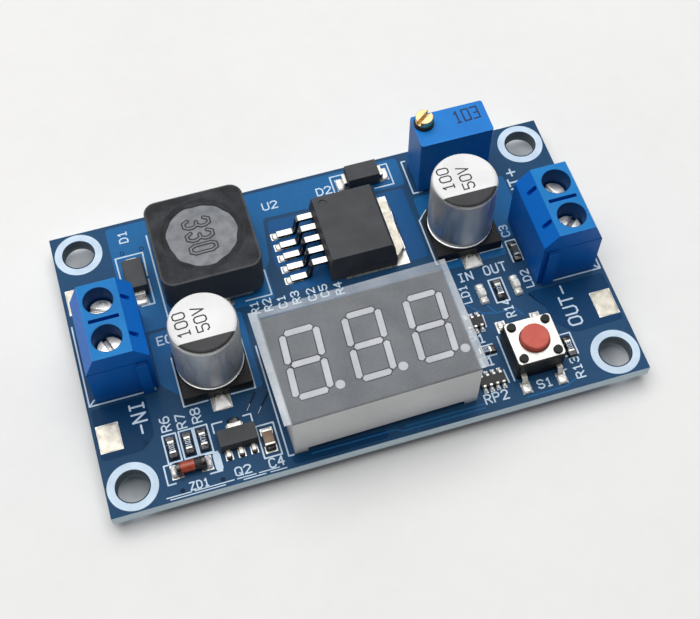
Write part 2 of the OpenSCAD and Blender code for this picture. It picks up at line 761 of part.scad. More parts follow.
// A clip lies under the base and turns up its edge
module inductor_clips() {
    edge = coil_base_w / 2;
    color(tin) at_coil() for (end = [-1, 1]) rotate([0, 0, end < 0 ? 180 : 0]) {
        translate([-coil_clip_w / 2, edge - coil_clip_in, tin_t])
            cube([coil_clip_w, coil_clip_in + coil_clip_t, coil_clip_t]);
        translate([-coil_clip_w / 2, edge, tin_t])
            cube([coil_clip_w, coil_clip_t, coil_clip_t + coil_base_t - seat]);
    }
}

// Five-lead power regulator. Local frame: the body's centre on the tin.

reg_tab_t = 1.3;
reg_tab_in = 6.5;
reg_tab_side = 0.5;
reg_lead_t = 0.45;
reg_lead_z = 2.7;
reg_foot_l = 1.9;
reg_draft = 0.3;
reg_chamfer = 0.9;
reg_dimple_d = 1.2;
reg_dimple_t = 0.15;
reg_dimple_inset = 1.45;
reg_drop_l = 1.2;

module at_regulator() {
    translate([reg_at[0], reg_at[1], pad_z]) children();
}

module tab_plate() {
    w = reg_w - 2 * reg_tab_side;
    x0 = reg_l / 2 - reg_tab_in;
    x1 = reg_l / 2 + reg_tab_out;
    c = 0.8 * reg_tab_out;
    linear_extrude(reg_tab_t) polygon([
        [x0, -w / 2], [x1 - c, -w / 2], [x1, -w / 2 + c], [x1, w / 2 - c], [x1 - c, w / 2], [x0, w / 2]
    ]);
}

module regulator_body() {
    color(black_plastic) at_regulator() difference() {
        intersection() {
            along_y(reg_w) polygon([
                [-reg_l / 2 + reg_draft / 2, 0], [reg_l / 2, 0], [reg_l / 2, reg_tab_t],
                [reg_l / 2 - reg_draft, reg_h - reg_chamfer], [reg_l / 2 - reg_draft - reg_chamfer / 2, reg_h],
                [-reg_l / 2 + reg_draft, reg_h], [-reg_l / 2, reg_lead_z]
            ]);
            along_x(2 * reg_l) polygon([
                [-reg_w / 2, 0], [reg_w / 2, 0], [reg_w / 2, reg_tab_t],
                [reg_w / 2 - reg_draft, reg_h], [-reg_w / 2 + reg_draft, reg_h], [-reg_w / 2, reg_tab_t]
            ]);
        }
        translate([0, 0, -cut]) linear_extrude(cut + seat / 2) square(3 * reg_w, center = true);
        tab_plate();
        translate([-reg_l / 2 + reg_dimple_inset, reg_w / 2 - reg_dimple_inset, reg_h - reg_dimple_t])
            cylinder(d = reg_dimple_d, h = cut + reg_dimple_t);
    }
}

module regulator_tab() { color(tin) at_regulator() tab_plate(); }

module regulator_leads() {
    color(tin) at_regulator() for (i = [-2 : 2]) translate([-reg_l / 2, i * reg_pitch, 0]) mirror([1, 0, 0])
        gull_lead(reg_lead_l, reg_lead_l - reg_foot_l - reg_drop_l, reg_lead_l - reg_foot_l,
            reg_lead_z + reg_lead_t / 2, reg_lead_t, reg_lead_w);
}

// Moulded diodes with straps folded under the body, drawn along X

diode_strap_w = 1.5;
diode_strap_t = 0.25;
diode_strap_in = 1.1;
diode_draft = 0.08;
diode_places = [concat(side_diode_at, 90), concat(back_diode_at, 0)];

module diode_bodies() {
    low = diode_strap_t + seat;
    mid = diode_h / 2;
    color(black_plastic) translate([0, 0, pad_z]) at_each(diode_places) intersection() {
        along_y(diode_w) polygon([
            [-diode_l / 2 + diode_draft, low], [diode_l / 2 - diode_draft, low], [diode_l / 2, mid],
            [diode_l / 2 - diode_draft, diode_h], [-diode_l / 2 + diode_draft, diode_h], [-diode_l / 2, mid]
        ]);
        along_x(diode_l) polygon([
            [-diode_w / 2 + diode_draft, low], [diode_w / 2 - diode_draft, low], [diode_w / 2, mid],
            [diode_w / 2 - diode_draft, diode_h], [-diode_w / 2 + diode_draft, diode_h], [-diode_w / 2, mid]
        ]);
    }
}

// Each strap leaves the body's end at half height, drops and folds under it
module diode_leads() {
    t = diode_strap_t;
    mid = diode_h / 2;
    color(tin) translate([0, 0, pad_z]) at_each(diode_places) for (end = [0, 1]) mirror([end, 0, 0])
        translate([diode_l / 2, 0, 0]) along_y(diode_strap_w) polygon([
            [0, mid - t / 2], [t, mid - t / 2], [t, t], [-diode_strap_in, t], [-diode_strap_in, 0], [2 * t, 0],
            [2 * t, mid + t / 2], [0, mid + t / 2]
        ]);
}

// Three-digit display. Local frame: the housing's centre on the board.

disp_foot_l = 1.6;
disp_fill_low = 2.4;
point_shift = [0.59, -0.44];
digit_up = 0.2;
bar_inset = 0.65;
side_low = 0.2;
side_drop = 0.5;
film_t = 0.1;
film_front = 0.2;

// The display was soldered in a little askew, so it is turned on its pins
module at_display() {
    translate([disp_at[0], disp_at[1], top_z]) rotate([0, 0, disp_turn]) children();
}

function slanted(points) = [for (p = points) [p[0] + p[1] * tan(digit_slant), p[1]]];
function flipped(points, sx, sy) = [for (p = points) [p[0] * sx, p[1] * sy]];

hw = digit_w / 2;
hh = digit_h / 2;
// A bar with pointed ends, from its middle line's two ends, lying or standing
function level_bar(x, y) = [[-x, y], [-x + segment_w / 3, y + segment_w / 2], [x - segment_w / 3, y + segment_w / 2],
    [x, y], [x - segment_w / 3, y - segment_w / 2], [-x + segment_w / 3, y - segment_w / 2]];
top_bar = level_bar(hw - bar_inset, hh - segment_w / 2);
mid_bar = level_bar(hw - bar_inset, 0);
side_top = hh - side_drop;
side_bar = [[-hw + segment_w / 2, side_top], [-hw + segment_w, side_top - segment_w / 3],
    [-hw + segment_w, side_low + segment_w / 3], [-hw + segment_w / 2, side_low],
    [-hw, side_low + segment_w / 3], [-hw, side_top - segment_w / 3]];
bars = concat([top_bar, flipped(top_bar, 1, -1), mid_bar],
    [for (sx = [-1, 1]) for (sy = [-1, 1]) flipped(side_bar, sx, sy)]);

module segment_outlines() {
    for (i = [-1, 0, 1]) translate([i * digit_pitch, digit_up]) {
        for (bar = bars) polygon(slanted(bar));
        translate([point_shift[0] * digit_w, point_shift[1] * digit_h]) circle(d = point_d);
    }
}

module display_housing() {
    color([0.78, 0.79, 0.79]) at_display() difference() {
        block(disp_w, disp_d, disp_h);
        translate([0, 0, -cut])
            block(disp_w - 2 * disp_wall, disp_d - 2 * disp_wall, disp_h - disp_face_t + cut);
        translate([0, 0, disp_h - disp_face_t - cut]) linear_extrude(disp_face_t + 2 * cut) segment_outlines();
        translate([0, 0, -cut]) block(disp_w - 2 * disp_foot_l, disp_d + 2 * cut, disp_notch_h + cut);
    }
}

module display_segments() {
    color([0.88, 0.88, 0.9]) at_display()
        translate([0, 0, disp_h - disp_face_t]) linear_extrude(disp_face_t) segment_outlines();
}

module display_filling() {
    color([0.85, 0.84, 0.8]) at_display() translate([0, 0, disp_fill_low])
        block(disp_w - 2 * disp_wall, disp_d - 2 * disp_wall, disp_h - disp_face_t - disp_fill_low);
}

module display_pins() {
    color(tin) translate([0, 0, -tail_l]) at_each(disp_pins)
        cylinder(d = pin_d, h = tail_l + top_z + disp_fill_low);
}

module display_film() {
    color([0.8, 0.85, 0.9, 0.3]) at_display()
        translate([-disp_w / 2 - film_side, -disp_d / 2 + film_front, disp_h])
        cube([disp_w + 2 * film_side, disp_d - film_front + film_back, film_t]);
}

// Multi-turn trimmer: a brass worm screw turns a toothed wiper wheel that
// slides over a ceramic element. Local frame: the body's centre on the board.

module at_trimmer() {
    translate([trim_at[0], trim_at[1], top_z]) children();
}

module wheel_axis() {
    translate([wheel_at[0], wheel_y, wheel_at[1]]) rotate([90, 0, 0]) children();
}

module trimmer_body() {
    notch_w = 1.4;
    notch_d = 0.5;
    notch_in = 2.2;
    edge = 0.2;
    foot_w = 0.8;
    color(blue_plastic) at_trimmer() {
        difference() {
            union() {
                translate([0, 0, trim_low]) chamfered_block(trim_w, trim_d, trim_h - trim_low, edge);
                for (x = [-1, 1]) for (y = [-1, 1])
                    translate([x * (trim_w / 2 - edge - foot_w / 2), y * (trim_d / 2 - edge - foot_w / 2), 0])
                    block(foot_w, foot_w, trim_low);
            }
            translate([chamber_x0, chamber_y0, worm_low])
                cube([chamber_x1 - chamber_x0, chamber_y1 - chamber_y0, trim_h - trim_roof - worm_low]);
            translate([screw_at[0], screw_at[1], worm_low]) cylinder(d = worm_d + 2 * run, h = trim_h);
            translate([screw_at[0], screw_at[1], trim_h - trim_roof - seat])
                cylinder(d = trim_screw_d + 2 * run, h = trim_h);
            for (p = trim_pins) translate([p[0] - trim_at[0], element_mid_y, -cut])
                cylinder(d = pin_d + 2 * seat, h = worm_low + 2 * cut);
            translate([-trim_w / 2 + notch_in, -trim_d / 2, trim_h]) block(notch_w, 2 * notch_d, 2 * notch_d);
        }
        wheel_axis() translate([0, 0, -wheel_t / 2 - wheel_gap - cut])
            cylinder(d = wheel_pin_d, h = wheel_t + wheel_gap + cut);
    }
}

module trimmer_screw() {
    slot_w = 0.45;
    slot_h = 0.7;
    slot_turn = 35;
    top = trim_h + trim_screw_out;
    color(brass) at_trimmer() translate([screw_at[0], screw_at[1], 0]) difference() {
        union() {
            translate([0, 0, worm_low + seat]) cylinder(d = worm_d, h = top - worm_low - seat);
            translate([0, 0, trim_h - trim_roof + seat])
                cylinder(d = trim_screw_d, h = top - trim_h + trim_roof - seat);
        }
        translate([0, 0, top - slot_h]) rotate([0, 0, slot_turn]) block(2 * trim_screw_d, slot_w, slot_h + cut);
    }
}

module trimmer_seal() {
    color(black_plastic) at_trimmer() translate([screw_at[0], screw_at[1], trim_h])
        ring(trim_screw_d + 2 * seal_t, trim_screw_d + 2 * run, seal_t);
}

module trimmer_wheel() {
    r = wheel_d / 2;
    step = 360 / wheel_teeth;
    tooth = 0.3;
    color([0.92, 0.9, 0.84]) at_trimmer() wheel_axis() linear_extrude(wheel_t, center = true) difference() {
        polygon([for (i = [0 : wheel_teeth - 1]) each [
            (r - tooth) * [cos((i - 0.3) * step), sin((i - 0.3) * step)],
            r * [cos((i - 0.15) * step), sin((i - 0.15) * step)],
            r * [cos((i + 0.15) * step), sin((i + 0.15) * step)],
            (r - tooth) * [cos((i + 0.3) * step), sin((i + 0.3) * step)]
        ]]);
        circle(d = wheel_pin_d + 2 * run);
    }
}

module trimmer_element() {
    color([0.93, 0.93, 0.9]) at_trimmer() difference() {
        translate([wheel_at[0] - wheel_d / 2, chamber_y0, worm_low])
            cube([chamber_x1 - wheel_gap - wheel_at[0] + wheel_d / 2, element_t,
                trim_h - trim_roof - worm_low - seat]);
        wheel_axis() cylinder(d = wheel_pin_d + 4 * seat, h = trim_d, center = true);
    }
}

module trimmer_pins() {
    color(tin) translate([0, 0, -tail_l]) at_each(trim_pins)
        cylinder(d = pin_d, h = tail_l + top_z + worm_low);
}

// Push button: base with four riveted pegs, steel cover, dome spring and cap.
// Local frame: the switch's centre on the board.

key_low = 0.1;
key_cover_t = 0.3;
key_pocket_d = 4.4;
key_floor = 1.8;
key_flange_d = 4.2;
key_peg_d = 1;
key_peg_out = 0.35;
key_peg_inset = 0.85;
key_leg_w = 0.7;
key_leg_t = 0.25;
key_leg_z = 1;
dome_h = 0.5;
dome_t = 0.1;
key_leg_in = 0.6;
key_edge = 0.25;
key_stem_d = 1.6;
key_play = 0.1;
key_bevel = 0.15;
key_top = key_h - key_cover_t;

module at_key() {
    translate([key_at[0], key_at[1], top_z]) children();
}

module key_pegs(d, h) {
    for (x = [-1, 1]) for (y = [-1, 1])
        translate([x * (key_w / 2 - key_peg_inset), y * (key_w / 2 - key_peg_inset), 0]) cylinder(d = d, h = h);
}

module button_base() {
    color(black_plastic) at_key() difference() {
        union() {
            translate([0, 0, key_low]) chamfered_block(key_w, key_w, key_top - key_low, key_edge);
            translate([0, 0, key_top - cut]) key_pegs(key_peg_d, key_cover_t + key_peg_out + cut);
        }
        translate([0, 0, key_floor]) cylinder(d = key_pocket_d, h = key_h);
        for (x = [-1, 1]) for (y = [-1, 1])
            translate([x * key_leg_pitch / 2, y * key_w / 2, key_leg_z - seat])
            block(key_leg_w + 2 * seat, 2 * key_leg_in + 2 * seat, key_leg_t + 2 * seat);
    }
}

module button_cover() {
    color(steel) at_key() translate([0, 0, key_top]) difference() {
        chamfered_block(key_w - 2 * seat, key_w - 6 * seat, key_cover_t, key_edge);
        translate([0, 0, -cut]) cylinder(d = key_button_d + 2 * key_play, h = key_cover_t + 2 * cut);
        translate([0, 0, -cut]) key_pegs(key_peg_d + 2 * seat, key_cover_t + 2 * cut);
    }
}

module button_cap() {
    low = key_floor + dome_h + dome_t + seat;
    high = key_h + key_button_out - key_bevel;
    color([0.85, 0.25, 0.2]) at_key() {
        translate([0, 0, low]) cylinder(d = key_stem_d, h = key_top - seat - low);
        translate([0, 0, low + key_travel]) cylinder(d = key_flange_d, h = key_top - seat - low - key_travel);
        translate([0, 0, low + key_travel]) cylinder(d = key_button_d, h = high - low - key_travel);
        translate([0, 0, high]) cylinder(d1 = key_button_d, d2 = key_button_d - 2 * key_bevel, h = key_bevel);
    }
}

function ball_point(ball, angle) = ball * [sin(angle), cos(angle)];

// Snap dome: a shallow spherical cap that stands on the pocket's floor
module button_dome() {
    r = key_pocket_d / 2 - 4 * seat;
    ball = (r * r + dome_h * dome_h) / (2 * dome_h);
    half = asin(r / ball);
    steps = 6;
    color(steel) at_key() translate([0, 0, key_floor]) rotate_extrude() polygon(concat(
        [for (i = [0 : steps]) ball_point(ball, half * i / steps) + [0, dome_h + dome_t - ball]],
        [for (i = [steps : -1 : 0]) ball_point(ball, half * i / steps) + [0, dome_h - ball]]
    ));
}

module button_legs() {
    color(tin) at_key() for (y = [-1, 1]) for (x = [-1, 1])
        translate([x * key_leg_pitch / 2, y * (key_w / 2 - key_leg_in), tin_t]) rotate([0, 0, y * 90])
        gull_lead(key_leg_out + key_leg_in, key_leg_in + 2 * key_leg_t, key_leg_in + 4 * key_leg_t,
            key_leg_z - tin_t + key_leg_t, key_leg_t, key_leg_w);
}

// Power transistor with three legs in front and a tab behind

tran_pitch = 1.5;
tran_lead_t = 0.4;
tran_draft = 0.15;
tran_low = 0.02;
tran_leg_w = 0.5;
tran_leg_out = 0.8;
tran_leg_in = 0.6;
tran_tab_w = 1.7;
tran_tab_out = 0.9;

module transistor_body() {
    color(black_plastic) translate([tran_at[0], tran_at[1], pad_z]) difference() {
        along_x(tran_l) polygon([
            [-tran_w / 2, tran_low], [tran_w / 2, tran_low], [tran_w / 2, tran_lead_t],
            [tran_w / 2 - tran_draft, tran_h], [-tran_w / 2 + tran_draft, tran_h], [-tran_w / 2, tran_lead_t]
        ]);
        transistor_frame(seat / 2);
    }
}

// The flat lead frame: the middle leg runs through to the tab
module transistor_frame(clear) {
    front = -tran_w / 2 - tran_leg_out;
    t = tran_lead_t + 2 * clear;
    for (i = [-1, 0, 1]) translate([i * tran_pitch - tran_leg_w / 2 - clear, front - clear, -clear])
        cube([tran_leg_w + 2 * clear, tran_leg_out + tran_leg_in + 2 * clear, t]);
    translate([-tran_tab_w / 2 - clear, -tran_w / 2 + tran_leg_in - clear, -clear])
        cube([tran_tab_w + 2 * clear, tran_w - tran_leg_in + tran_tab_out + 2 * clear, t]);
}

module transistor_leads() {
    color(tin) translate([tran_at[0], tran_at[1], pad_z]) transistor_frame(0);
}

// Glass diode that lies between two metal caps, along X

glass_cap_l = 0.5;
glass_step = 0.15;

module at_glass() {
    translate([glass_at[0], glass_at[1], pad_z + glass_d / 2]) rotate([0, 90, 0]) children();
}

module glass_diode() {
    color([0.7, 0.25, 0.12]) at_glass()
        cylinder(d = glass_d - glass_step, h = glass_l - 2 * glass_cap_l, center = true);
}

module glass_diode_caps() {
    color(tin) at_glass() for (end = [-1, 1]) translate([0, 0, end * (glass_l - glass_cap_l) / 2])
        cylinder(d = glass_d, h = glass_cap_l, center = true);
}

// Chips: bodies between tinned ends, all drawn along X and then placed

led_h = 0.8;
small_cap_h = chip_w;
big_cap_h = 1;
array_h = chip_h;
array_end = 0.3;
array_cap_w = array_l / array_elements / 2;

function array_x(i) = (i - (array_elements - 1) / 2) * array_l / array_elements;

module on_tin() {
    translate([0, 0, pad_z]) children();
}

module chip_body(l, w, h) {
    block(l - 2 * chip_end, w, h);
}

module chip_caps(l, w, h) {
    for (end = [-1, 1]) translate([end * (l - chip_end) / 2, 0, 0]) block(chip_end, w, h);
}

module chip_resistors() {
    color(black_plastic) on_tin() at_each(small_resistors) chip_body(chip_l, chip_w, chip_h);
}

module chip_capacitors() {
    color([0.62, 0.47, 0.33]) on_tin() {
        at_each(small_capacitors) chip_body(chip_l, chip_w, small_cap_h);
        at_each([big_capacitor]) chip_body(big_chip_l, big_chip_w, big_cap_h);
    }
}

module resistor_arrays() {
    color(black_plastic) on_tin() at_each(arrays) difference() {
        block(array_l, array_w, array_h);
        array_caps(cut);
    }
}

module array_caps(over) {
    for (i = [0 : array_elements - 1]) for (end = [-1, 1])
        translate([array_x(i), end * (array_w / 2 - array_end / 2 + over / 2), -over])
        block(array_cap_w, array_end + over, array_h + 2 * over);
}

module indicator_leds() {
    color([0.95, 0.95, 0.9]) on_tin() at_each(leds) chip_body(chip_l, chip_w, led_h);
}

module chip_ends() {
    color(tin) on_tin() {
        at_each(small_resistors) chip_caps(chip_l, chip_w, chip_h);
        at_each(small_capacitors) chip_caps(chip_l, chip_w, small_cap_h);
        at_each([big_capacitor]) chip_caps(big_chip_l, big_chip_w, big_cap_h);
        at_each(leds) chip_caps(chip_l, chip_w, led_h / 2);
        at_each(arrays) array_caps(0);
    }
}

// Meter chip in the space under the display

meter_leads = 10;
meter_pitch = 0.65;
meter_h = 1.1;
meter_lead_l = 1;
meter_lead_t = 0.15;
meter_lead_w = 0.25;
meter_low = 0.1;
meter_shoulder = 0.25;
meter_foot = 0.45;

function meter_x(i) = (i - (meter_leads - 1) / 2) * meter_pitch;

module meter_chip() {
    color(black_plastic) on_tin() at_each([meter_at]) translate([0, 0, meter_low])
        chamfered_block(meter_l, meter_w, meter_h - meter_low, meter_low);
}

module meter_chip_leads() {
    color(tin) on_tin() at_each([meter_at]) for (end = [-1, 1]) for (i = [0 : meter_leads - 1])
        translate([meter_x(i), end * meter_w / 2, 0]) rotate([0, 0, end * 90])
        gull_lead(meter_lead_l, meter_shoulder, meter_foot, meter_h / 2 + meter_lead_t,
            meter_lead_t, meter_lead_w);
}

board();
fixing_rings();
solder_pads();
solder_joints();
input_housing();
input_contacts();
input_plus_guard();
input_minus_guard();
input_plus_screw();
input_minus_screw();
output_housing();
output_contacts();
output_plus_guard();
output_minus_guard();
output_plus_screw();
output_minus_screw();
input_can();
output_can();
can_bases();
can_leads();
inductor_shield();
inductor_core();
inductor_winding();
inductor_clips();
regulator_body();
regulator_tab();
regulator_leads();
diode_bodies();
diode_leads();
display_housing();
display_segments();
display_filling();
display_pins();
display_film();
trimmer_body();
trimmer_screw();
trimmer_seal();
trimmer_wheel();
trimmer_element();
trimmer_pins();
button_base();
button_cover();
button_cap();
button_dome();
button_legs();
transistor_body();
transistor_leads();
glass_diode();
glass_diode_caps();
chip_resistors();
chip_capacitors();
resistor_arrays();
indicator_leds();
chip_ends();
meter_chip();
meter_chip_leads();
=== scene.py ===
# %% [markdown]
# # A boost converter module
# A boost converter turns a low voltage into a higher one. This one is a small blue
# circuit board with screw terminals, an inductor, two can capacitors, a regulator,
# a trimmer, a push button and a three-digit meter.
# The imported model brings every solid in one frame, in metres, with the origin under
# the middle of the board. This lesson dresses those solids: first the camera and the
# light, then the finishes, then the print, the solder and the other small things.

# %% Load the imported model
import math

import bmesh
import bpy
from mathutils import Matrix, Vector


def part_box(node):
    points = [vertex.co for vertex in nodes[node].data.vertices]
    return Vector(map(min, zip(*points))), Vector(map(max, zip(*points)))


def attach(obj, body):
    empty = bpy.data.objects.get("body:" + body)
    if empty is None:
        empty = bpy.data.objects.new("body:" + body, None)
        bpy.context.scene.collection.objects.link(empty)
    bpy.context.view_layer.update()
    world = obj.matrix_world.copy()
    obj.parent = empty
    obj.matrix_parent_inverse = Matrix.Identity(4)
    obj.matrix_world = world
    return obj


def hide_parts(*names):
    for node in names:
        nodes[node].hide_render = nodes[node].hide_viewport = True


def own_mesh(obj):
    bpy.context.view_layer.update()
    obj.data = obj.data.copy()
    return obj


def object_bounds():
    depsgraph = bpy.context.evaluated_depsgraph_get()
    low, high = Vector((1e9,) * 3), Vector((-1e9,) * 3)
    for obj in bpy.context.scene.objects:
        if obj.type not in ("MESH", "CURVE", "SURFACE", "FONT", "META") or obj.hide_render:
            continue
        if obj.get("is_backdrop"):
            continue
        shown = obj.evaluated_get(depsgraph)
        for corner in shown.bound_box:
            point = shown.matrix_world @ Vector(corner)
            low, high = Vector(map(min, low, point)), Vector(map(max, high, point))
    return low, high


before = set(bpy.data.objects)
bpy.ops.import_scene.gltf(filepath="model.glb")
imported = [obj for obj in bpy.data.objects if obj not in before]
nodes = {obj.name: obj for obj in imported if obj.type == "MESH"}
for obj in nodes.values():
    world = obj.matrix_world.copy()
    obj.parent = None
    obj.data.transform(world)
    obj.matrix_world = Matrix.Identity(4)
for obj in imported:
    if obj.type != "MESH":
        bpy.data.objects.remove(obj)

scene = bpy.context.scene
cad_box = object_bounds()
mm = 0.001
board_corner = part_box("board")[1]
board_top = board_corner.z
pad_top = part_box("solder_pads")[1].z
print("size in mm", [round((high - low) / mm, 2) for low, high in zip(*cad_box)])

# %% [markdown]
# ## Camera
# The camera stands where the photographer stood: in front, a little to the left and
# well above the board, with a long lens. Its place was worked out beforehand from the
# board's four corners and fixing holes, so it is only typed in here.

# %% Put the camera in place
camera_data = bpy.data.cameras.new("photo_camera")
camera_data.lens = 65.0137
camera_data.sensor_width = 36.0
camera = bpy.data.objects.new("photo_camera", camera_data)
camera.location = (-0.021489, -0.074698, 0.137590)
camera.rotation_euler = (0.5134929658, 0.0007767429, -0.2956879715)
scene.collection.objects.link(camera)
scene.camera = camera
print("camera", round(camera.location.length / mm), "mm from the board")

# %% [markdown]
# ## Studio
# Small products are photographed on a white sweep under large soft boxes. One big box
# hangs above and behind the board, so that tops are bright and fronts fall into shade.
# The sky stands for a white ceiling: bright overhead and behind, where flat metal
# mirrors it into the camera, and dark in front, so that slopes facing the camera stay
# dark. The colours are shown as they are, without a film curve, so whites stay white.

# %% Light the table
soft_box = bpy.data.lights.new("overhead_box", "AREA")
soft_box.shape = "RECTANGLE"
soft_box.size = 0.56
soft_box.size_y = 0.50
soft_box.energy = 2.0
soft_box.color = (1.0, 0.99, 0.97)
lamp = bpy.data.objects.new("overhead_box", soft_box)
lamp.location = (-0.03, 0.13, 0.50)
lamp.rotation_euler = (-lamp.location).to_track_quat("-Z", "Y").to_euler()
scene.collection.objects.link(lamp)
scene.view_settings.view_transform = "Standard"
print(lamp.name, round(lamp.location.length, 2), "m from the board")

# %% Give the sky a soft gradient
def feed(tree, sockets, values):
    """Gives each named socket another socket to link from, or a plain value."""
    for slot, value in values.items():
        if isinstance(value, bpy.types.NodeSocket):
            tree.links.new(value, sockets[slot])
        else:
            sockets[slot].default_value = value


def add_node(tree, kind, inputs=None, **settings):
    node = tree.nodes.new("ShaderNode" + kind)
    for name, value in settings.items():
        setattr(node, name, value)
    feed(tree, node.inputs, inputs or {})
    return node


sky = bpy.data.worlds.new("studio_sky")
scene.world = sky
sky.use_nodes = True
sky_tree = sky.node_tree
towards = add_node(sky_tree, "TexCoord").outputs["Generated"]
brightest = (0.0, 0.45, 0.89)
upward = add_node(sky_tree, "VectorMath", {0: towards, 1: brightest}, operation="DOT_PRODUCT")
sky_ramp = add_node(sky_tree, "ValToRGB", {"Fac": upward.outputs["Value"]})
steps = sky_ramp.color_ramp.elements
steps[0].color = (0.04, 0.04, 0.045, 1)
for place, tone in ((0.30, 0.14), (0.75, 0.80)):
    steps.new(place).color = (tone, tone, tone, 1)
feed(sky_tree, sky_tree.nodes["Background"].inputs, {"Color": sky_ramp.outputs["Color"], "Strength": 0.9})
print("sky in", len(steps), "steps")

# %% [markdown]
# ## Effects that several finishes share
# Hardly any real surface has one even colour. Four shader groups carry what these
# surfaces have in common: soft patches with a fine grain, worn edges that also carry
# painted highlights, streaks in one direction, and a mask for faces that look up or
# down. Each is built once and placed in a finish with that finish's own values. They
# give colours, masks and heights only, so the shader itself stays in the finish, where
# it can be exported.

# %% Start a group
def new_group(name, inputs, outputs):
    """A shader group with named sockets; returns it with what comes in and what goes out."""
    group = bpy.data.node_groups.new(name, "ShaderNodeTree")
    for socket, (kind, value) in inputs.items():
        made = group.interface.new_socket(socket, in_out="INPUT", socket_type="NodeSocket" + kind)
        made.default_value = value
    for socket, kind in outputs.items():
        group.interface.new_socket(socket, in_out="OUTPUT", socket_type="NodeSocket" + kind)
    return group, group.nodes.new("NodeGroupInput").outputs, group.nodes.new("NodeGroupOutput").inputs


def mix_tones(tree, mask, *tones):
    """A colour that goes from one tone to another with the mask; a tone is a socket or a colour."""
    first, second = [(*tone, 1) if isinstance(tone, tuple) else tone for tone in tones]
    return add_node(tree, "Mix", {0: mask, 6: first, 7: second}, data_type="RGBA").outputs[2]


def spread(tree, value, low, high, new_low=0.0, new_high=1.0):
    """Stretches low..high of a value to new_low..new_high and clips the rest."""
    limits = {"From Min": low, "From Max": high, "To Min": new_low, "To Max": new_high}
    return add_node(tree, "MapRange", {"Value": value, **limits}).outputs["Result"]


def solve(tree, operation, *terms):
    """The result of a Math node; each term is a socket or a number."""
    return add_node(tree, "Math", dict(enumerate(terms)), operation=operation).outputs[0]


def object_place(tree):
    """The X, Y and Z of each point of a surface, in metres."""
    where = add_node(tree, "TexCoord").outputs["Object"]
    return add_node(tree, "SeparateXYZ", {"Vector": where}).outputs


def add_noise(tree, scale, detail=2.0, where=None):
    """Soft noise on the object's own coordinates, or on another vector."""
    if where is None:
        where = add_node(tree, "TexCoord").outputs["Object"]
    return add_node(tree, "TexNoise", {"Vector": where, "Scale": scale, "Detail": detail}).outputs["Fac"]


print("group tools ready")

# %% Patches and grain
grain_group, given, result = new_group(
    "patches and grain",
    {
        "Dark": ("Color", (0, 0, 0, 1)),
        "Light": ("Color", (1, 1, 1, 1)),
        "Patch Scale": ("Float", 200.0),
        "Grain Scale": ("Float", 4000.0),
    },
    {"Color": "Color", "Height": "Float"},
)
patches = add_noise(grain_group, given["Patch Scale"], 4.0)
grain = add_noise(grain_group, given["Grain Scale"])
grain_share = 0.35
both = solve(grain_group, "MULTIPLY_ADD", grain, grain_share, patches)
tone = mix_tones(grain_group, spread(grain_group, both, 0.5, 0.85), given["Dark"], given["Light"])
feed(grain_group, result, {"Color": tone, "Height": grain})
print(grain_group.name, len(grain_group.nodes), "nodes")

# %% Worn edges with painted highlights
# The mask finds rounded edges; the paler tone laid there is partly wear and partly painted highlight.
wear_and_glint_group, given, result = new_group("edges with wear and painted highlights", {"Radius": ("Float", 0.0002)}, {"Mask": "Float"})
rounded = add_node(wear_and_glint_group, "Bevel", {"Radius": given["Radius"]}, samples=4).outputs["Normal"]
surface = add_node(wear_and_glint_group, "NewGeometry").outputs["Normal"]
turned = add_node(wear_and_glint_group, "VectorMath", {0: rounded, 1: surface}, operation="DOT_PRODUCT")
feed(wear_and_glint_group, result, {"Mask": spread(wear_and_glint_group, turned.outputs["Value"], 0.995, 0.90)})
print(wear_and_glint_group.name, len(wear_and_glint_group.nodes), "nodes")

# %% Streaks in one direction
streak_group, given, result = new_group(
    "streaks", {"Stretch": ("Vector", (1000, 1000, 1000))}, {"Mask": "Float"}
)
where = add_node(streak_group, "TexCoord").outputs["Object"]
longer = add_node(streak_group, "VectorMath", {0: where, 1: given["Stretch"]}, operation="MULTIPLY")
feed(streak_group, result, {"Mask": add_noise(streak_group, 1.0, 3.0, longer.outputs["Vector"])})
print(streak_group.name, len(streak_group.nodes), "nodes")

# %% Flat faces, up or down
flat_group, _, result = new_group("flat faces", {}, {"Flat": "Float", "Up": "Float"})
surface = add_node(flat_group, "NewGeometry").outputs["True Normal"]
upright = add_node(flat_group, "SeparateXYZ", {"Vector": surface}).outputs["Z"]
flat = spread(flat_group, solve(flat_group, "ABSOLUTE", upright), 0.5, 0.7)
feed(flat_group, result, {"Flat": flat, "Up": spread(flat_group, upright, 0.75, 0.9)})
print(flat_group.name, len(flat_group.nodes), "nodes")

# %% [markdown]
# ## Two kinds of finish
# Most pieces are either moulded plastic or bare metal. A moulded piece has two close
# tones, a fine grain that breaks up its gloss and slightly paler edges, partly worn and
# partly painted highlight; some also get a tone of painted light and shade on faces that
# don't look up. A metal piece has a roughness that varies from place to place and, where
# it was drawn or turned, streaks. Two functions make them, and the special finishes come
# after.

# %% Place a group in a finish
finishes = {}


def new_finish(name, roughness, metallic=0.0, shine=0.5):
    """A new finish; returns its nodes and the inputs of its shader."""
    finish = bpy.data.materials.new(name)
    finish.use_nodes = True
    finishes[name] = finish
    tree = finish.node_tree
    shader = tree.nodes["Principled BSDF"].inputs
    feed(tree, shader, {"Roughness": roughness, "Specular IOR Level": shine, "Metallic": metallic})
    return tree, shader


def place_group(tree, group, values=None):
    return add_node(tree, "Group", values, node_tree=group).outputs


def place_grain(tree, dark, light, patch, grain):
    values = {"Dark": (*dark, 1), "Light": (*light, 1), "Patch Scale": patch, "Grain Scale": grain}
    return place_group(tree, grain_group, values)


def add_bump(tree, shader, height, strength, depth):
    bump = add_node(tree, "Bump", {"Height": height, "Strength": strength, "Distance": depth * mm})
    feed(tree, shader, {"Normal": bump.outputs["Normal"]})


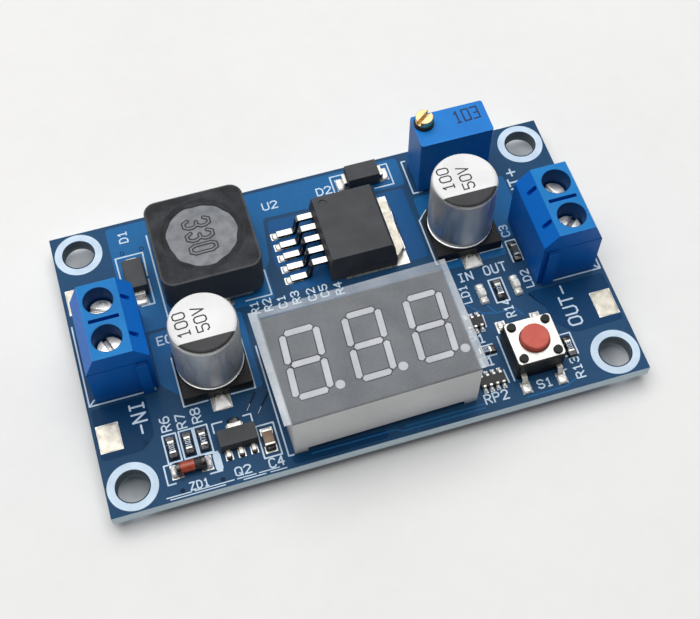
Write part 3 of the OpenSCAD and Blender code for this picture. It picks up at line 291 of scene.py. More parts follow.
def repaint(tree, shader, mask, tone):
    """Lays a tone over a finish's own colour where the mask is 1."""
    color = shader["Base Color"].links[0].from_socket
    feed(tree, shader, {"Base Color": mix_tones(tree, mask, color, tone)})


print("finish tools ready")

# %% Moulded plastic and bare metal
noise_low, noise_high = 0.3, 0.7


def vary_gloss(tree, shader, height, rough, play, bump, depth):
    """Lets a height drive a bump, and the roughness from rough - play to rough + play."""
    gloss = spread(tree, height, noise_low, noise_high, rough - play, rough + play)
    feed(tree, shader, {"Roughness": gloss})
    add_bump(tree, shader, height, bump, depth)


def moulded(name, dark, light, rough, patch, grain, bump, edge=None, edge_radius=0.15, shine=0.3,
            side=None):
    """A plastic of two tones; edge is the tone of worn edges with painted highlights, side a tone of
    painted light and shade for faces that don't look up.
    """
    tree, shader = new_finish(name, rough, 0.0, shine)
    surface = place_grain(tree, dark, light, patch, grain)
    color = surface["Color"]
    # Paler edges: partly wear, partly painted highlight.
    if edge:
        wear_and_glint = place_group(tree, wear_and_glint_group, {"Radius": edge_radius * mm})["Mask"]
        color = mix_tones(tree, wear_and_glint, color, edge)
    # Faces that don't look up get the side tone: painted light and shade.
    if side:
        color = mix_tones(tree, place_group(tree, flat_group)["Up"], side, color)
    feed(tree, shader, {"Base Color": color})
    vary_gloss(tree, shader, surface["Height"], rough, 0.06, bump, 0.03)
    return tree, shader


def bare_metal(name, dark, light, rough, patch, grain, bump, stretch=None):
    """A metal of two tones; stretch gives the direction of its streaks, where it has them."""
    tree, shader = new_finish(name, rough, 1.0)
    surface = place_grain(tree, dark, light, patch, grain)
    feed(tree, shader, {"Base Color": surface["Color"]})
    uneven = surface["Height"]
    if stretch:
        uneven = place_group(tree, streak_group, {"Stretch": stretch})["Mask"]
    vary_gloss(tree, shader, uneven, rough, 0.10, bump, 0.02)
    return tree, shader


print("two makers ready")

# %% [markdown]
# ## Plastics
# The terminals are bright blue nylon, the trimmer a slightly lighter blue, the button
# a coral red. The black pieces differ: the capacitor bases and the button's base are
# semi-gloss, while the regulator, the diodes and the transistor are a matt, greyish
# epoxy filled with fine silica. Little light falls into the terminals' screw wells, so
# the nylon gets painted shade round each screw, and on the narrow ledges lower down. A
# chip capacitor's colour comes from its ceramic: brown at the input, grey at the output.

# %% Make the plastics
# Edge tones are partly wear and partly painted highlight; the trimmer's last tone is painted shade on faces
# that don't look up.
moulded("trimmer nylon", (0.005, 0.17, 0.58), (0.008, 0.21, 0.66), 0.45, 200, 6000, 0.10,
        (0.04, 0.30, 0.78), 0.10, 0.2, (0.004, 0.135, 0.46))
moulded("button plastic", (0.52, 0.085, 0.065), (0.60, 0.115, 0.085), 0.48, 500, 6000, 0.15,
        (0.72, 0.20, 0.16))
moulded("black plastic", (0.008, 0.008, 0.009), (0.015, 0.015, 0.017), 0.42, 260, 5200, 0.12,
        (0.045, 0.045, 0.05), 0.10, 0.2)
moulded("epoxy", (0.041, 0.043, 0.048), (0.059, 0.061, 0.068), 0.58, 320, 7000, 0.30,
        (0.10, 0.10, 0.11), 0.08)
moulded("chip black", (0.014, 0.014, 0.016), (0.024, 0.024, 0.027), 0.40, 900, 9000, 0.12,
        (0.07, 0.07, 0.075), 0.05)
moulded("ceramic", (0.72, 0.71, 0.68), (0.82, 0.81, 0.79), 0.55, 500, 6000, 0.12)
moulded("potting resin", (0.62, 0.60, 0.52), (0.72, 0.70, 0.62), 0.35, 180, 3000, 0.08)
print("plastics", len(finishes))

# %% Paint shade into the screw wells and onto the ledges
# Faces that don't look up get a painted shade tone, a little darker and bluer than the tops.
tree, shader = moulded("terminal nylon", (0.003, 0.160, 0.47), (0.006, 0.205, 0.56), 0.42, 160, 5200, 0.10,
                       (0.03, 0.30, 0.70), 0.12, 0.15, (0.003, 0.143, 0.57))
screw_x, screw_y, half_pitch, skew = 28.25 * mm, 0.45 * mm, 2.54 * mm, 0.00354
well_r, ledge_top = 1.80 * mm, 8.70 * mm
place = object_place(tree)
across = solve(tree, "SUBTRACT", solve(tree, "ABSOLUTE", place["X"]), screw_x)
level_y = solve(tree, "MULTIPLY_ADD", place["X"], -skew, place["Y"])
from_middle = solve(tree, "ABSOLUTE", solve(tree, "SUBTRACT", level_y, screw_y))
along = solve(tree, "SUBTRACT", from_middle, half_pitch)
squares = solve(tree, "MULTIPLY_ADD", across, across, solve(tree, "MULTIPLY", along, along))
# Painted shade round each screw, where little light falls into the well.
well_painted_shade = spread(tree, solve(tree, "SQRT", squares), well_r + 0.04 * mm, well_r)
repaint(tree, shader, well_painted_shade, (0.004, 0.070, 0.23))
# Painted shade on the flat faces of the ledges below the top.
low_down = spread(tree, place["Z"], ledge_top + 0.05 * mm, ledge_top)
ledge_painted_shade = solve(tree, "MULTIPLY", place_group(tree, flat_group)["Up"], low_down)
repaint(tree, shader, ledge_painted_shade, (0.002, 0.070, 0.26))
print("nodes in the terminals' nylon", len(tree.nodes))

# %% Two tones of chip capacitor
tree, shader = new_finish("chip capacitor", 0.42, 0.0, 0.3)
brown = place_grain(tree, (0.20, 0.125, 0.080), (0.28, 0.185, 0.125), 900, 8000)
grey = place_grain(tree, (0.040, 0.046, 0.052), (0.070, 0.078, 0.086), 900, 8000)
output_side = spread(tree, object_place(tree)["X"], 15 * mm, 17 * mm)
feed(tree, shader, {"Base Color": mix_tones(tree, output_side, brown["Color"], grey["Color"])})
add_bump(tree, shader, brown["Height"], 0.15, 0.03)
print("plastics", len(finishes))

# %% [markdown]
# ## Metals
# Tin is the most seen metal here: it covers the pads, the leads and the solder. It is
# silvery with a warm cast and never quite even. The cans are drawn aluminium with fine
# upright lines, the terminal screws and the button's cover are plated steel, the trimmer's
# screw is brass and the winding is enamelled copper.

# %% Make the metals
# Name, dark and light tone, roughness, patch and grain scale, bump, and streaks where it has them.
metals = [
    ("tin", (0.44, 0.43, 0.40), (0.63, 0.62, 0.58), 0.34, 700, 3500, 0.30),
    ("tinned pad", (0.40, 0.38, 0.33), (0.60, 0.57, 0.50), 0.45, 900, 3500, 0.30),
    ("bright solder", (0.56, 0.56, 0.55), (0.74, 0.73, 0.71), 0.24, 900, 2600, 0.40),
    # Dark base colour: painted dark reflection on the solder of the small chips and the transistor.
    ("dull solder", (0.045, 0.045, 0.048), (0.12, 0.12, 0.125), 0.40, 900, 2600, 0.40),
    ("cap metal", (0.06, 0.06, 0.065), (0.12, 0.12, 0.125), 0.35, 700, 3500, 0.20),
    ("drawn aluminium", (0.66, 0.66, 0.66), (0.76, 0.76, 0.76), 0.48, 120, 3000, 0.02, (2500, 2500, 400)),
    ("plated steel", (0.86, 0.86, 0.85), (0.95, 0.95, 0.94), 0.32, 300, 1500, 0.01),
    ("cover steel", (0.47, 0.47, 0.45), (0.54, 0.54, 0.52), 0.36, 300, 5000, 0.10, (6000, 500, 500)),
    ("brass", (0.66, 0.45, 0.21), (0.80, 0.58, 0.30), 0.34, 600, 4000, 0.25),
    ("enamelled copper", (0.52, 0.20, 0.08), (0.72, 0.34, 0.15), 0.30, 300, 3000, 0.40, (200, 200, 3500)),
]
for row in metals:
    bare_metal(*row)
# The regulator leads' tin: faces that slope get a near-black tone, painted shade.
tree, shader = bare_metal("lead tin", (0.46, 0.45, 0.43), (0.66, 0.65, 0.62), 0.34, 700, 3500, 0.20)
slope_painted_shade = spread(tree, place_group(tree, flat_group)["Flat"], 1.0, 0.0)
repaint(tree, shader, slope_painted_shade, (0.045, 0.046, 0.050))
tree, shader = bare_metal("frosted solder", (0.74, 0.73, 0.71), (0.92, 0.91, 0.89), 0.42, 900, 2600, 0.30)
shader["Metallic"].default_value = 0.45
print("finishes so far", len(finishes))

# %% [markdown]
# ## Solder mask over laminate
# The board is glass-fibre laminate under a blue solder mask. The mask covers the flat
# faces only: the cut edges show the laminate itself, pale and in thin layers, and the
# walls of the holes are greener, and darker with painted shade. Copper under the mask
# changes its blue, so the copper areas get their own tones of the same finish. The
# flat-face mask chooses between mask and laminate, and the place on the board between
# edge and hole.

# %% Make the board's finishes
def edge_masks(tree, start, end):
    """Two masks, for X and Y, that rise between two distances in from the board's edges."""
    place = object_place(tree)
    return [spread(tree, solve(tree, "ABSOLUTE", place[axis]), reach - start * mm, reach - end * mm)
            for axis, reach in zip("XY", board_corner)]


def masked_board(name, dark, light):
    tree, shader = new_finish(name, 0.36, 0.0, 0.08)
    blue = place_grain(tree, dark, light, 45, 2600)
    layers = place_group(tree, streak_group, {"Stretch": (350, 350, 7000)})["Mask"]
    cut = mix_tones(tree, layers, (0.44, 0.60, 0.72), (0.84, 0.94, 0.98))
    # Hole walls: greener, and darker with painted shade.
    bored_and_shaded = mix_tones(tree, layers, (0.07, 0.09, 0.10), (0.24, 0.29, 0.31))
    at_outer_edge = solve(tree, "MAXIMUM", *edge_masks(tree, 0.10, 0.05))
    fibre = mix_tones(tree, at_outer_edge, bored_and_shaded, cut)
    flat = place_group(tree, flat_group)["Flat"]
    feed(tree, shader, {
        "Base Color": mix_tones(tree, flat, fibre, blue["Color"]),
        "Roughness": spread(tree, flat, 0.0, 1.0, 0.75, 0.34),
    })
    add_bump(tree, shader, blue["Height"], 0.06, 0.02)


masked_board("mask on laminate", (0.012, 0.056, 0.132), (0.020, 0.074, 0.168))
masked_board("mask on copper", (0.010, 0.110, 0.300), (0.016, 0.135, 0.345))
masked_board("mask on deep copper", (0.008, 0.080, 0.240), (0.012, 0.100, 0.280))
masked_board("mask on darker areas", (0.002, 0.034, 0.098), (0.004, 0.047, 0.138))
masked_board("mask in a via", (0.001, 0.012, 0.040), (0.002, 0.020, 0.060))
moulded("white print", (0.52, 0.66, 0.80), (0.64, 0.78, 0.92), 0.55, 500, 5000, 0.20)
print("finishes so far", len(finishes))

# %% [markdown]
# ## Ferrite, display and other special finishes
# The inductor's shield is pressed ferrite powder: nearly black, matt, with pale edges,
# partly worn and partly painted highlight, and paler sides of painted light; its core is
# ground flat and grey. The display is one light moulding with a grey printed face, so its
# finish looks at the height and the direction of each face. The film on the display is
# clear plastic: almost unseen where it lies on the face, and milky where it stands out
# from it, so its transparency depends on the place.

# %% Make ferrite and ink
# The ferrite's last tone, paler, is painted light on faces that don't look up.
moulded("ferrite", (0.017, 0.018, 0.021), (0.045, 0.048, 0.055), 0.60, 420, 3500, 0.45,
        (0.20, 0.20, 0.205), 0.30, 0.15, (0.055, 0.062, 0.074))
moulded("ground core", (0.165, 0.175, 0.193), (0.255, 0.265, 0.285), 0.55, 700, 5000, 0.45,
        (0.25, 0.25, 0.26), 0.08, 0.2)
moulded("dark glue", (0.020, 0.021, 0.024), (0.042, 0.044, 0.050), 0.60, 500, 2500, 0.45, shine=0.15)
moulded("dark ink", (0.016, 0.017, 0.020), (0.030, 0.031, 0.036), 0.50, 900, 6000, 0.10)
moulded("navy ink", (0.006, 0.020, 0.085), (0.010, 0.030, 0.110), 0.50, 900, 6000, 0.10)
moulded("can white", (0.74, 0.74, 0.75), (0.84, 0.84, 0.85), 0.34, 260, 5000, 0.08)
moulded("can black", (0.020, 0.021, 0.024), (0.034, 0.035, 0.040), 0.42, 400, 5000, 0.20)
# Painted shadow for the gaps round the display's bars.
moulded("painted gap shadow", (0.012, 0.012, 0.014), (0.024, 0.024, 0.027), 0.55, 900, 6000, 0.10, shine=0.1)
moulded("segment plastic", (0.48, 0.49, 0.53), (0.58, 0.59, 0.63), 0.40, 300, 3000, 0.06, shine=0.2)
print("finishes so far", len(finishes))

# %% Make the display's finish
display_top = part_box("display_housing")[1].z
tree, shader = new_finish("display housing", 0.42, 0.0, 0.2)
wall = place_grain(tree, (0.68, 0.69, 0.69), (0.78, 0.79, 0.79), 150, 4500)
face = place_grain(tree, (0.080, 0.085, 0.095), (0.128, 0.134, 0.148), 170, 3000)
at_top = spread(tree, object_place(tree)["Z"], display_top - 0.05 * mm, display_top - 0.02 * mm)
printed = solve(tree, "MULTIPLY", place_group(tree, flat_group)["Up"], at_top)
feed(tree, shader, {"Base Color": mix_tones(tree, printed, wall["Color"], face["Color"])})
add_bump(tree, shader, wall["Height"], 0.06, 0.03)
print("display top at", round(display_top / mm, 2), "mm")

# %% Make film, glass and lamp
tree, shader = new_finish("clear film", 0.35, 0.0, 0.2)
film_grain = place_grain(tree, (0.62, 0.68, 0.74), (0.80, 0.85, 0.90), 220, 2500)
place = object_place(tree)
margins = (("X", -10.9, -11.2, 0.50), ("X", 11.3, 11.6, 0.38), ("Y", -3.85, -3.55, 0.22))
least_haze = margin = 0.06
for axis, inner, outer, haze in margins:
    beyond = spread(tree, place[axis], inner * mm, outer * mm, least_haze, haze)
    margin = solve(tree, "MAXIMUM", beyond, margin)
clouds = add_noise(tree, 240)
cloudy = spread(tree, clouds, noise_low, noise_high, 0.8, 1.2)
milky = solve(tree, "MULTIPLY", margin, cloudy)
feed(tree, shader, {"Base Color": film_grain["Color"], "Alpha": milky})
add_bump(tree, shader, clouds, 0.15, 0.02)

see_through = [
    ("red glass", 0.12, 0.35, (0.42, 0.050, 0.020), (0.60, 0.100, 0.040)),
    ("lamp body", 0.28, 0.10, (0.88, 0.89, 0.85), (0.96, 0.97, 0.94)),
]
for name, rough, clearness, dark, light in see_through:
    tree, shader = new_finish(name, rough)
    color = place_grain(tree, dark, light, 900, 4000)["Color"]
    feed(tree, shader, {"Base Color": color, "Transmission Weight": clearness})
print("finishes in all", len(finishes))

# %% [markdown]
# ## Dress the CAD solids
# Every solid keeps its shape and gets a finish. Real mouldings and stampings have small
# radii on their edges, and those catch the light. A Bevel modifier rounds the edges of
# the pieces that are close to the camera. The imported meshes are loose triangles, so a
# Weld modifier joins them first and flat neighbours are merged, which leaves clean edges
# for the bevel to follow.

# %% Choose a finish and an edge for each solid
poles = [side + "_" + sign for side in ("input", "output") for sign in ("plus", "minus")]
# Finish, width of the rounded edges in millimetres, and the solids.
dress = [
    ("mask on laminate", 0, ["board"]),
    ("white print", 0, ["fixing_rings"]),
    ("tin", 0, ["solder_pads", "solder_joints", "input_contacts", "output_contacts", "inductor_clips",
                "regulator_leads", "display_pins", "trimmer_pins", "meter_chip_leads"]),
    ("tin", 0.05, ["can_leads", "diode_leads", "button_legs", "transistor_leads", "chip_ends"]),
    ("tinned pad", 0.05, ["regulator_tab"]),
    ("cap metal", 0.06, ["glass_diode_caps"]),
    ("terminal nylon", 0.12, ["input_housing", "output_housing"]),
    ("plated steel", 0, [pole + "_guard" for pole in poles] + ["button_dome"]),
    ("plated steel", 0.08, [pole + "_screw" for pole in poles]),
    ("cover steel", 0.06, ["button_cover"]),
    ("drawn aluminium", 0, ["input_can", "output_can"]),
    ("black plastic", 0, ["trimmer_seal"]),
    ("black plastic", 0.08, ["button_base"]),
    ("black plastic", 0.10, ["can_bases"]),
    ("epoxy", 0, ["meter_chip"]),
    ("epoxy", 0.07, ["transistor_body"]),
    ("epoxy", 0.08, ["regulator_body", "diode_bodies"]),
    ("chip black", 0.03, ["resistor_arrays"]),
    ("chip black", 0.04, ["chip_resistors"]),
    ("chip capacitor", 0.08, ["chip_capacitors"]),
    ("ferrite", 0.25, ["inductor_shield"]),
    ("ground core", 0.10, ["inductor_core"]),
    ("enamelled copper", 0, ["inductor_winding"]),
    ("display housing", 0.08, ["display_housing"]),
    ("segment plastic", 0, ["display_segments"]),
    ("potting resin", 0, ["display_filling"]),
    ("clear film", 0, ["display_film"]),
    ("trimmer nylon", 0.10, ["trimmer_body"]),
    ("brass", 0.06, ["trimmer_screw"]),
    ("ceramic", 0, ["trimmer_wheel", "trimmer_element"]),
    ("button plastic", 0.12, ["button_cap"]),
    ("red glass", 0, ["glass_diode"]),
    ("lamp body", 0.08, ["indicator_leds"]),
]
undressed = set(nodes) - {member for finish, width, members in dress for member in members}
print("rows", len(dress), "undressed", sorted(undressed))

# %% Dress them and round the edges that show
def round_edges(piece, width):
    weld = piece.modifiers.new("join triangles", "WELD")
    weld.merge_threshold = 0.001 * mm
    merge = piece.modifiers.new("merge flat faces", "DECIMATE")
    merge.decimate_type = "DISSOLVE"
    merge.angle_limit = math.radians(0.5)
    bevel = piece.modifiers.new("round edges", "BEVEL")
    bevel.limit_method = "ANGLE"
    bevel.angle_limit = math.radians(35)
    bevel.width = width * mm
    bevel.segments = 2
    bevel.use_clamp_overlap = True


for finish, width, members in dress:
    for member in members:
        nodes[member].data.materials.clear()
        nodes[member].data.materials.append(finishes[finish])
        if width:
            round_edges(nodes[member], width)
print("rounded", sum(len(members) for finish, width, members in dress if width), "solids")

# %% [markdown]
# ## Make a piece from a mesh
# Every new piece is built in a bmesh at its own place, handed to an object at the
# origin, dressed, and told to ride on the module, the body that has the board.

# %% Hand over a finished mesh
def new_object(name, shape, finish):
    mesh = bpy.data.meshes.new(name)
    shape.to_mesh(mesh)
    shape.free()
    mesh.materials.append(finishes[finish])
    thing = bpy.data.objects.new(name, mesh)
    scene.collection.objects.link(thing)
    return thing


def add_piece(name, shape, finish):
    bmesh.ops.recalc_face_normals(shape, faces=shape.faces)
    piece = new_object(name, shape, finish)
    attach(piece, "module")
    print(name, len(piece.data.polygons), "faces")
    return piece


def move(shape, verts, place, low):
    """Moves points to a place in millimetres, at a height in metres."""
    bmesh.ops.translate(shape, verts=verts, vec=(place[0] * mm, place[1] * mm, low))


def rotate(shape, verts, angle, axis="Z"):
    bmesh.ops.rotate(shape, verts=verts, cent=(0, 0, 0), matrix=Matrix.Rotation(angle, 3, axis))


print("mesh tools ready")

# %% Lay the floor
floor_shape = bmesh.new()
bmesh.ops.create_grid(floor_shape, x_segments=4, y_segments=4, size=0.9)
move(floor_shape, floor_shape.verts, (0, 0), cad_box[0].z)
tree, shader = moulded("pale floor", (0.80, 0.80, 0.80), (0.84, 0.84, 0.84), 0.75, 20, 400, 0.02)
# Painted shadow: the floor is darker under the board.
board_painted_shadow = solve(tree, "MULTIPLY", *edge_masks(tree, 0.5, 3.0))
repaint(tree, shader, board_painted_shadow, (0.40, 0.43, 0.46))
floor = new_object("floor", floor_shape, "pale floor")
floor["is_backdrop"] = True
print("floor at", round(cad_box[0].z / mm, 2), "mm")

# %% [markdown]
# ## Copper under the mask
# Copper areas and tracks lie under the mask as flat plates a few hundredths of a
# millimetre high. They are modelled as plates: a few corner points make a face, its
# corners are rounded with a vertex bevel, and the face is extruded. The gaps between
# the plates then show as fine darker lines, as they do on the real board.

# %% A plate with rounded corners
def raise_faces(shape, faces, thick):
    """Gives flat faces a thickness along Z, in millimetres, and returns the raised faces."""
    grown = bmesh.ops.extrude_face_region(shape, geom=faces)["geom"]
    tops = [thing for thing in grown if isinstance(thing, bmesh.types.BMVert)]
    bmesh.ops.translate(shape, verts=tops, vec=(0, 0, thick * mm))
    return [thing for thing in grown if isinstance(thing, bmesh.types.BMFace)]


def add_plate(shape, outline, low, thick, corner=0.5):
    before = set(shape.faces)
    corners = [shape.verts.new((x * mm, y * mm, low)) for x, y in outline]
    shape.faces.new(corners)
    bmesh.ops.bevel(shape, geom=corners, offset=corner * mm, segments=3, profile=0.5, material=-1,
                    affect="VERTICES")
    raise_faces(shape, [face for face in shape.faces if face not in before], thick)


def box_line(x0, y0, x1, y1):
    return [(x0, y0), (x1, y0), (x1, y1), (x0, y1), (x0, y0)]


copper_t = 0.02


def add_copper(name, outlines, finish, corner=0.5):
    shape = bmesh.new()
    for outline in outlines:
        add_plate(shape, outline, board_top, copper_t, corner)
    add_piece(name, shape, finish)


print("copper is", copper_t, "mm thick")

# %% Lay the copper areas
copper_areas = [
    [(-25.9, 19.0), (13.2, 19.0), (13.2, 14.6), (0.4, 14.6), (-6.1, 14.8), (-6.9, 8.4), (-7.6, 7.6),
     (-7.6, 2.9), (-25.9, 2.9)],
    [(-23.9, 2.5), (-12.2, 2.5), (-12.2, -8.3), (-20.2, -8.3), (-23.9, -4.8)],
    [(13.4, 12.2), (25.8, 12.2), (25.8, 8.2), (23.9, 5.2), (23.9, 2.9), (22.2, 2.9), (22.2, 0.6),
     (13.4, 0.6)],
]
regulator_area = [(-5.7, 14.2), (0.3, 14.1), (12.6, 14.1), (12.6, 3.2), (-5.2, 3.2), (-6.4, 8.2)]
# Darker mask: two areas in front of the terminals, and a strip in front of the display that is partly
# copper and partly painted shadow of the display.
dark_areas = [
    [(-32.6, -5.5), (-26.0, -5.5), (-26.0, -10.8), (-27.6, -12.3), (-32.6, -12.3)],
    [(22.6, -5.4), (32.6, -5.4), (32.6, -12.3), (26.1, -12.4), (24.0, -10.2), (24.0, -8.0),
     (23.3, -7.0), (22.6, -5.8)],
    [(-11.4, -18.0), (0.2, -18.0), (0.2, -19.1), (-11.4, -19.1)],
]
chip_places = [(-24.45, -13.05), (-22.5, -13.05), (-20.7, -13.05), (19.3, -4.1), (24.65, -14.1)]
bare_w, bare_d = 0.62, 1.50
bare_areas = [box_line(x - bare_w, y - bare_d, x + bare_w, y + bare_d)[:4] for x, y in chip_places]
add_copper("copper_areas", copper_areas, "mask on copper")
add_copper("regulator_copper", [regulator_area], "mask on deep copper")
add_copper("bare_areas", bare_areas, "mask in a via", 0.1)
add_copper("darker_mask_areas", dark_areas, "mask on darker areas")

# %% [markdown]
# ## Tracks
# A track is a bar with round ends. A circle is made, its far half is moved away by the
# track's length, and the face is turned into place and raised. The same bar also serves
# as a pen stroke for all the print on the board. Bars overlap where a line bends, and two
# faces in exactly the same plane would shade each other, so each bar is raised by a
# slightly different amount, less than a hundredth of a millimetre.

# %% A bar with round ends
strokes_made = 0
stroke_step, stroke_levels = 0.0004, 25


def add_stroke(shape, start, end, width, low, thick, sides=12):
    global strokes_made
    strokes_made += 1
    run = Vector(end) - Vector(start)
    verts = bmesh.ops.create_circle(shape, cap_ends=True, segments=sides, radius=width / 2 * mm)["verts"]
    rotate(shape, verts, math.pi / sides)
    far = [vert for vert in verts if vert.co.x > 0]
    bmesh.ops.translate(shape, verts=far, vec=(run.length * mm, 0, 0))
    rotate(shape, verts, math.atan2(run.y, run.x))
    move(shape, verts, start, low)
    lift = strokes_made % stroke_levels * stroke_step
    raise_faces(shape, list(verts[0].link_faces), thick + math.copysign(lift, thick))


def add_paths(shape, paths, width, low, thick, sides=12):
    for points in paths:
        for start, end in zip(points, points[1:]):
            add_stroke(shape, start, end, width, low, thick, sides)


tracks = [
    [(14.66, -4.8), (16.22, -6.59), (17.62, -7.02)],
    [(17.12, -5.55), (17.87, -7.04), (19.02, -7.1)],
    [(20.06, -6.74), (20.95, -8.18)],
    [(13.0, -7.0), (13.0, -14.3), (12.6, -14.8)],
    [(-9.0, -18.35), (1.2, -18.35), (2.0, -18.75), (12.2, -18.75)],
    [(2.4, -18.25), (12.4, -18.25)],
    [(23.9, -18.3), (22.3, -18.9), (17.4, -18.9)],
]
gaps = [[(-13.4, -8.9), (-14.9, -10.9)], [(-11.95, -9.4), (-13.7, -11.6)]]
track_t = copper_t + 0.004
for name, paths, width, finish in (
    ("tracks", tracks, 0.20, "mask on copper"), ("copper_gaps", gaps, 0.24, "mask in a via")
):
    track_shape = bmesh.new()
    add_paths(track_shape, paths, width, board_top, track_t)
    add_piece(name, track_shape, finish)

# %% [markdown]
# ## Print on the board
# The white print is a thin layer of ink put down through a screen. Outlines show where
# each part goes, and a short name stands next to each. The letters of such boards are
# drawn with a pen of one width, so here each letter is a list of pen moves on a grid of
# four by six, and each move becomes a bar with round ends.

# %% Outlines
print_t = 0.03
outlines = [
    [(-25.4, 7.8), (-25.5, 14.3), (-22.0, 14.3), (-22.1, 10.8)],
    [(-22.1, 10.2), (-22.1, 6.6), (-23.7, 6.6)],
    [(-21.0, 16.6), (-21.0, 4.0)],
    [(-7.9, 7.25), (-7.9, 3.6), (-11.2, 3.6)],
    [(6.0, 18.45), (3.95, 18.45), (3.95, 15.1), (4.6, 15.1)],
    [(10.2, 18.45), (11.75, 18.45), (11.75, 15.1), (9.2, 15.1)],
    [(14.2, 18.1), (13.7, 18.1), (13.7, 12.85), (14.9, 12.85)],
    [(14.4, 9.9), (13.1, 8.6), (13.1, 1.75), (15.8, 1.75)],
    [(18.9, 1.75), (21.9, 1.75), (21.9, 3.4)],
    [(-21.9, -1.5), (-21.9, -8.25), (-19.0, -8.25)],
    [(-16.1, -8.25), (-13.15, -8.25), (-13.15, -0.4)],
    box_line(22.5, -0.75, 23.8, 2.4),
    box_line(18.45, -5.75, 20.15, -2.4),
    [(23.8, -12.2), (25.45, -12.2), (25.45, -15.15), (23.8, -15.15)],
    box_line(-25.25, -14.8, -23.65, -11.2),
    box_line(-23.3, -14.8, -21.7, -11.2),
    box_line(-21.5, -14.8, -19.9, -11.2),
    [(-25.0, -14.95), (-25.9, -14.95), (-25.9, -17.4), (-25.0, -17.4)],
    [(-20.9, -14.95), (-19.5, -14.95), (-19.5, -17.4), (-20.9, -17.4)],
    [(-19.3, -12.6), (-19.3, -11.4), (-18.1, -11.4)],
    [(-15.5, -11.4), (-14.6, -11.4), (-14.6, -12.6)],
    box_line(-14.45, -17.4, -12.35, -13.2),
    [(-32.6, 6.2), (-32.6, -5.0), (-24.6, -5.0), (-24.6, -4.5)],
    [(-32.6, -5.0), (-31.9, -4.3)],
    [(25.7, -4.75), (32.6, -4.75), (32.6, 6.3)],
    [(32.6, -4.75), (31.9, -4.1)],
    [(-11.7, -2.9), (-11.7, -17.9), (-11.1, -17.9)],
    [(16.8, -10.2), (16.75, -16.4)],
    [(23.2, -16.8), (22.9, -16.8)],
    [(14.3, -10.95), (15.87, -10.95), (15.91, -12.42), (13.9, -12.38)],
    [(15.75, -6.85), (16.12, -6.85), (16.02, -8.50)],
    [(15.6, -14.70), (15.97, -14.70), (16.06, -16.42)],
]
front_dashes = {
    -19.2: [(-26.0, 6.4), (-17.4, 2.6), (-14.2, 1.9)],
    -18.9: [(-26.4, 2.9), (-23.1, 4.6), (-18.1, 2.2), (-15.5, 2.4)],
}
front_lines = [[(x, y), (x + run, y)] for y, dashes in front_dashes.items() for x, run in dashes]
diode_bar = [(-19.72, -15.4), (-19.72, -16.95)]
gap_edges = [[(x + 0.55, y + 0.75), (x, y)] for start, (x, y) in gaps]
print_shape = bmesh.new()
for paths, pen in ((outlines, 0.19), (front_lines, 0.13), ([diode_bar], 0.9), (gap_edges, 0.07)):
    add_paths(print_shape, paths, pen, board_top, print_t)
add_piece("print_outlines", print_shape, "white print")

# %% Pen moves for the letters
bowl = [(0, 3), (3, 3), (4, 4), (4, 5), (3, 6), (0, 6), (0, 0)]
oval = [(0, 1), (0, 5), (1, 6), (3, 6), (4, 5), (4, 1), (3, 0), (1, 0), (0, 1)]
pen_moves = {
    "0": [oval],
    "1": [[(0.8, 4.8), (2, 6), (2, 0)], [(0.8, 0), (3.2, 0)]],
    "2": [[(0, 5), (1, 6), (3, 6), (4, 5), (4, 4), (0, 0), (4, 0)]],
    "3": [[(0, 5), (1, 6), (3, 6), (4, 5), (4, 4), (3, 3), (4, 2), (4, 1), (3, 0), (1, 0), (0, 1)],
          [(1.4, 3), (3, 3)]],
    "4": [[(3, 0), (3, 6), (0, 2), (4, 2)]],
    "5": [[(4, 6), (0, 6), (0, 3.4), (3, 3.4), (4, 2.4), (4, 1), (3, 0), (1, 0), (0, 1)]],
    "6": [[(3.4, 6), (1.6, 6), (0, 4), (0, 1), (1, 0), (3, 0), (4, 1), (4, 2.4), (3, 3.4), (0, 3.4)]],
    "7": [[(0, 6), (4, 6), (1.5, 0)]],
    "8": [[(1, 3.2), (0, 4.2), (0, 5), (1, 6), (3, 6), (4, 5), (4, 4.2), (3, 3.2), (1, 3.2), (0, 2.2),
           (0, 1), (1, 0), (3, 0), (4, 1), (4, 2.2), (3, 3.2)]],
    "C": [[(4, 5), (3, 6), (1, 6), (0, 5), (0, 1), (1, 0), (3, 0), (4, 1)]],
    "D": [[(0, 0), (0, 6), (2.5, 6), (4, 4.5), (4, 1.5), (2.5, 0), (0, 0)]],
    "E": [[(4, 6), (0, 6), (0, 0), (4, 0)], [(0, 3), (3, 3)]],
    "I": [[(2, 0), (2, 6)], [(0.8, 0), (3.2, 0)], [(0.8, 6), (3.2, 6)]],
    "L": [[(0, 6), (0, 0), (4, 0)]],
    "N": [[(0, 0), (0, 6), (4, 0), (4, 6)]],
    "O": [oval],
    "P": [bowl],
    "Q": [oval, [(2.4, 1.8), (4.2, -0.3)]],
    "R": [bowl, [(2, 3), (4, 0)]],
    "S": [[(4, 5), (3, 6), (1, 6), (0, 5), (0, 4), (1, 3), (3, 3), (4, 2), (4, 1), (3, 0), (1, 0), (0, 1)]],
    "T": [[(0, 6), (4, 6)], [(2, 6), (2, 0)]],
    "U": [[(0, 6), (0, 1), (1, 0), (3, 0), (4, 1), (4, 6)]],
    "V": [[(0, 6), (2, 0), (4, 6)]],
    "Z": [[(0, 6), (4, 6), (0, 0), (4, 0)]],
    "+": [[(2, 1), (2, 5)], [(0, 3), (4, 3)]],
    "-": [[(0, 3), (4, 3)]],
    "square 0": [[(0, 0), (0, 6), (4, 6), (4, 0), (0, 0)]],
    "square 3": [[(0, 6), (4, 6), (4, 0), (0, 0)], [(1.4, 3), (4, 3)]],
}
print("letters", len(pen_moves))

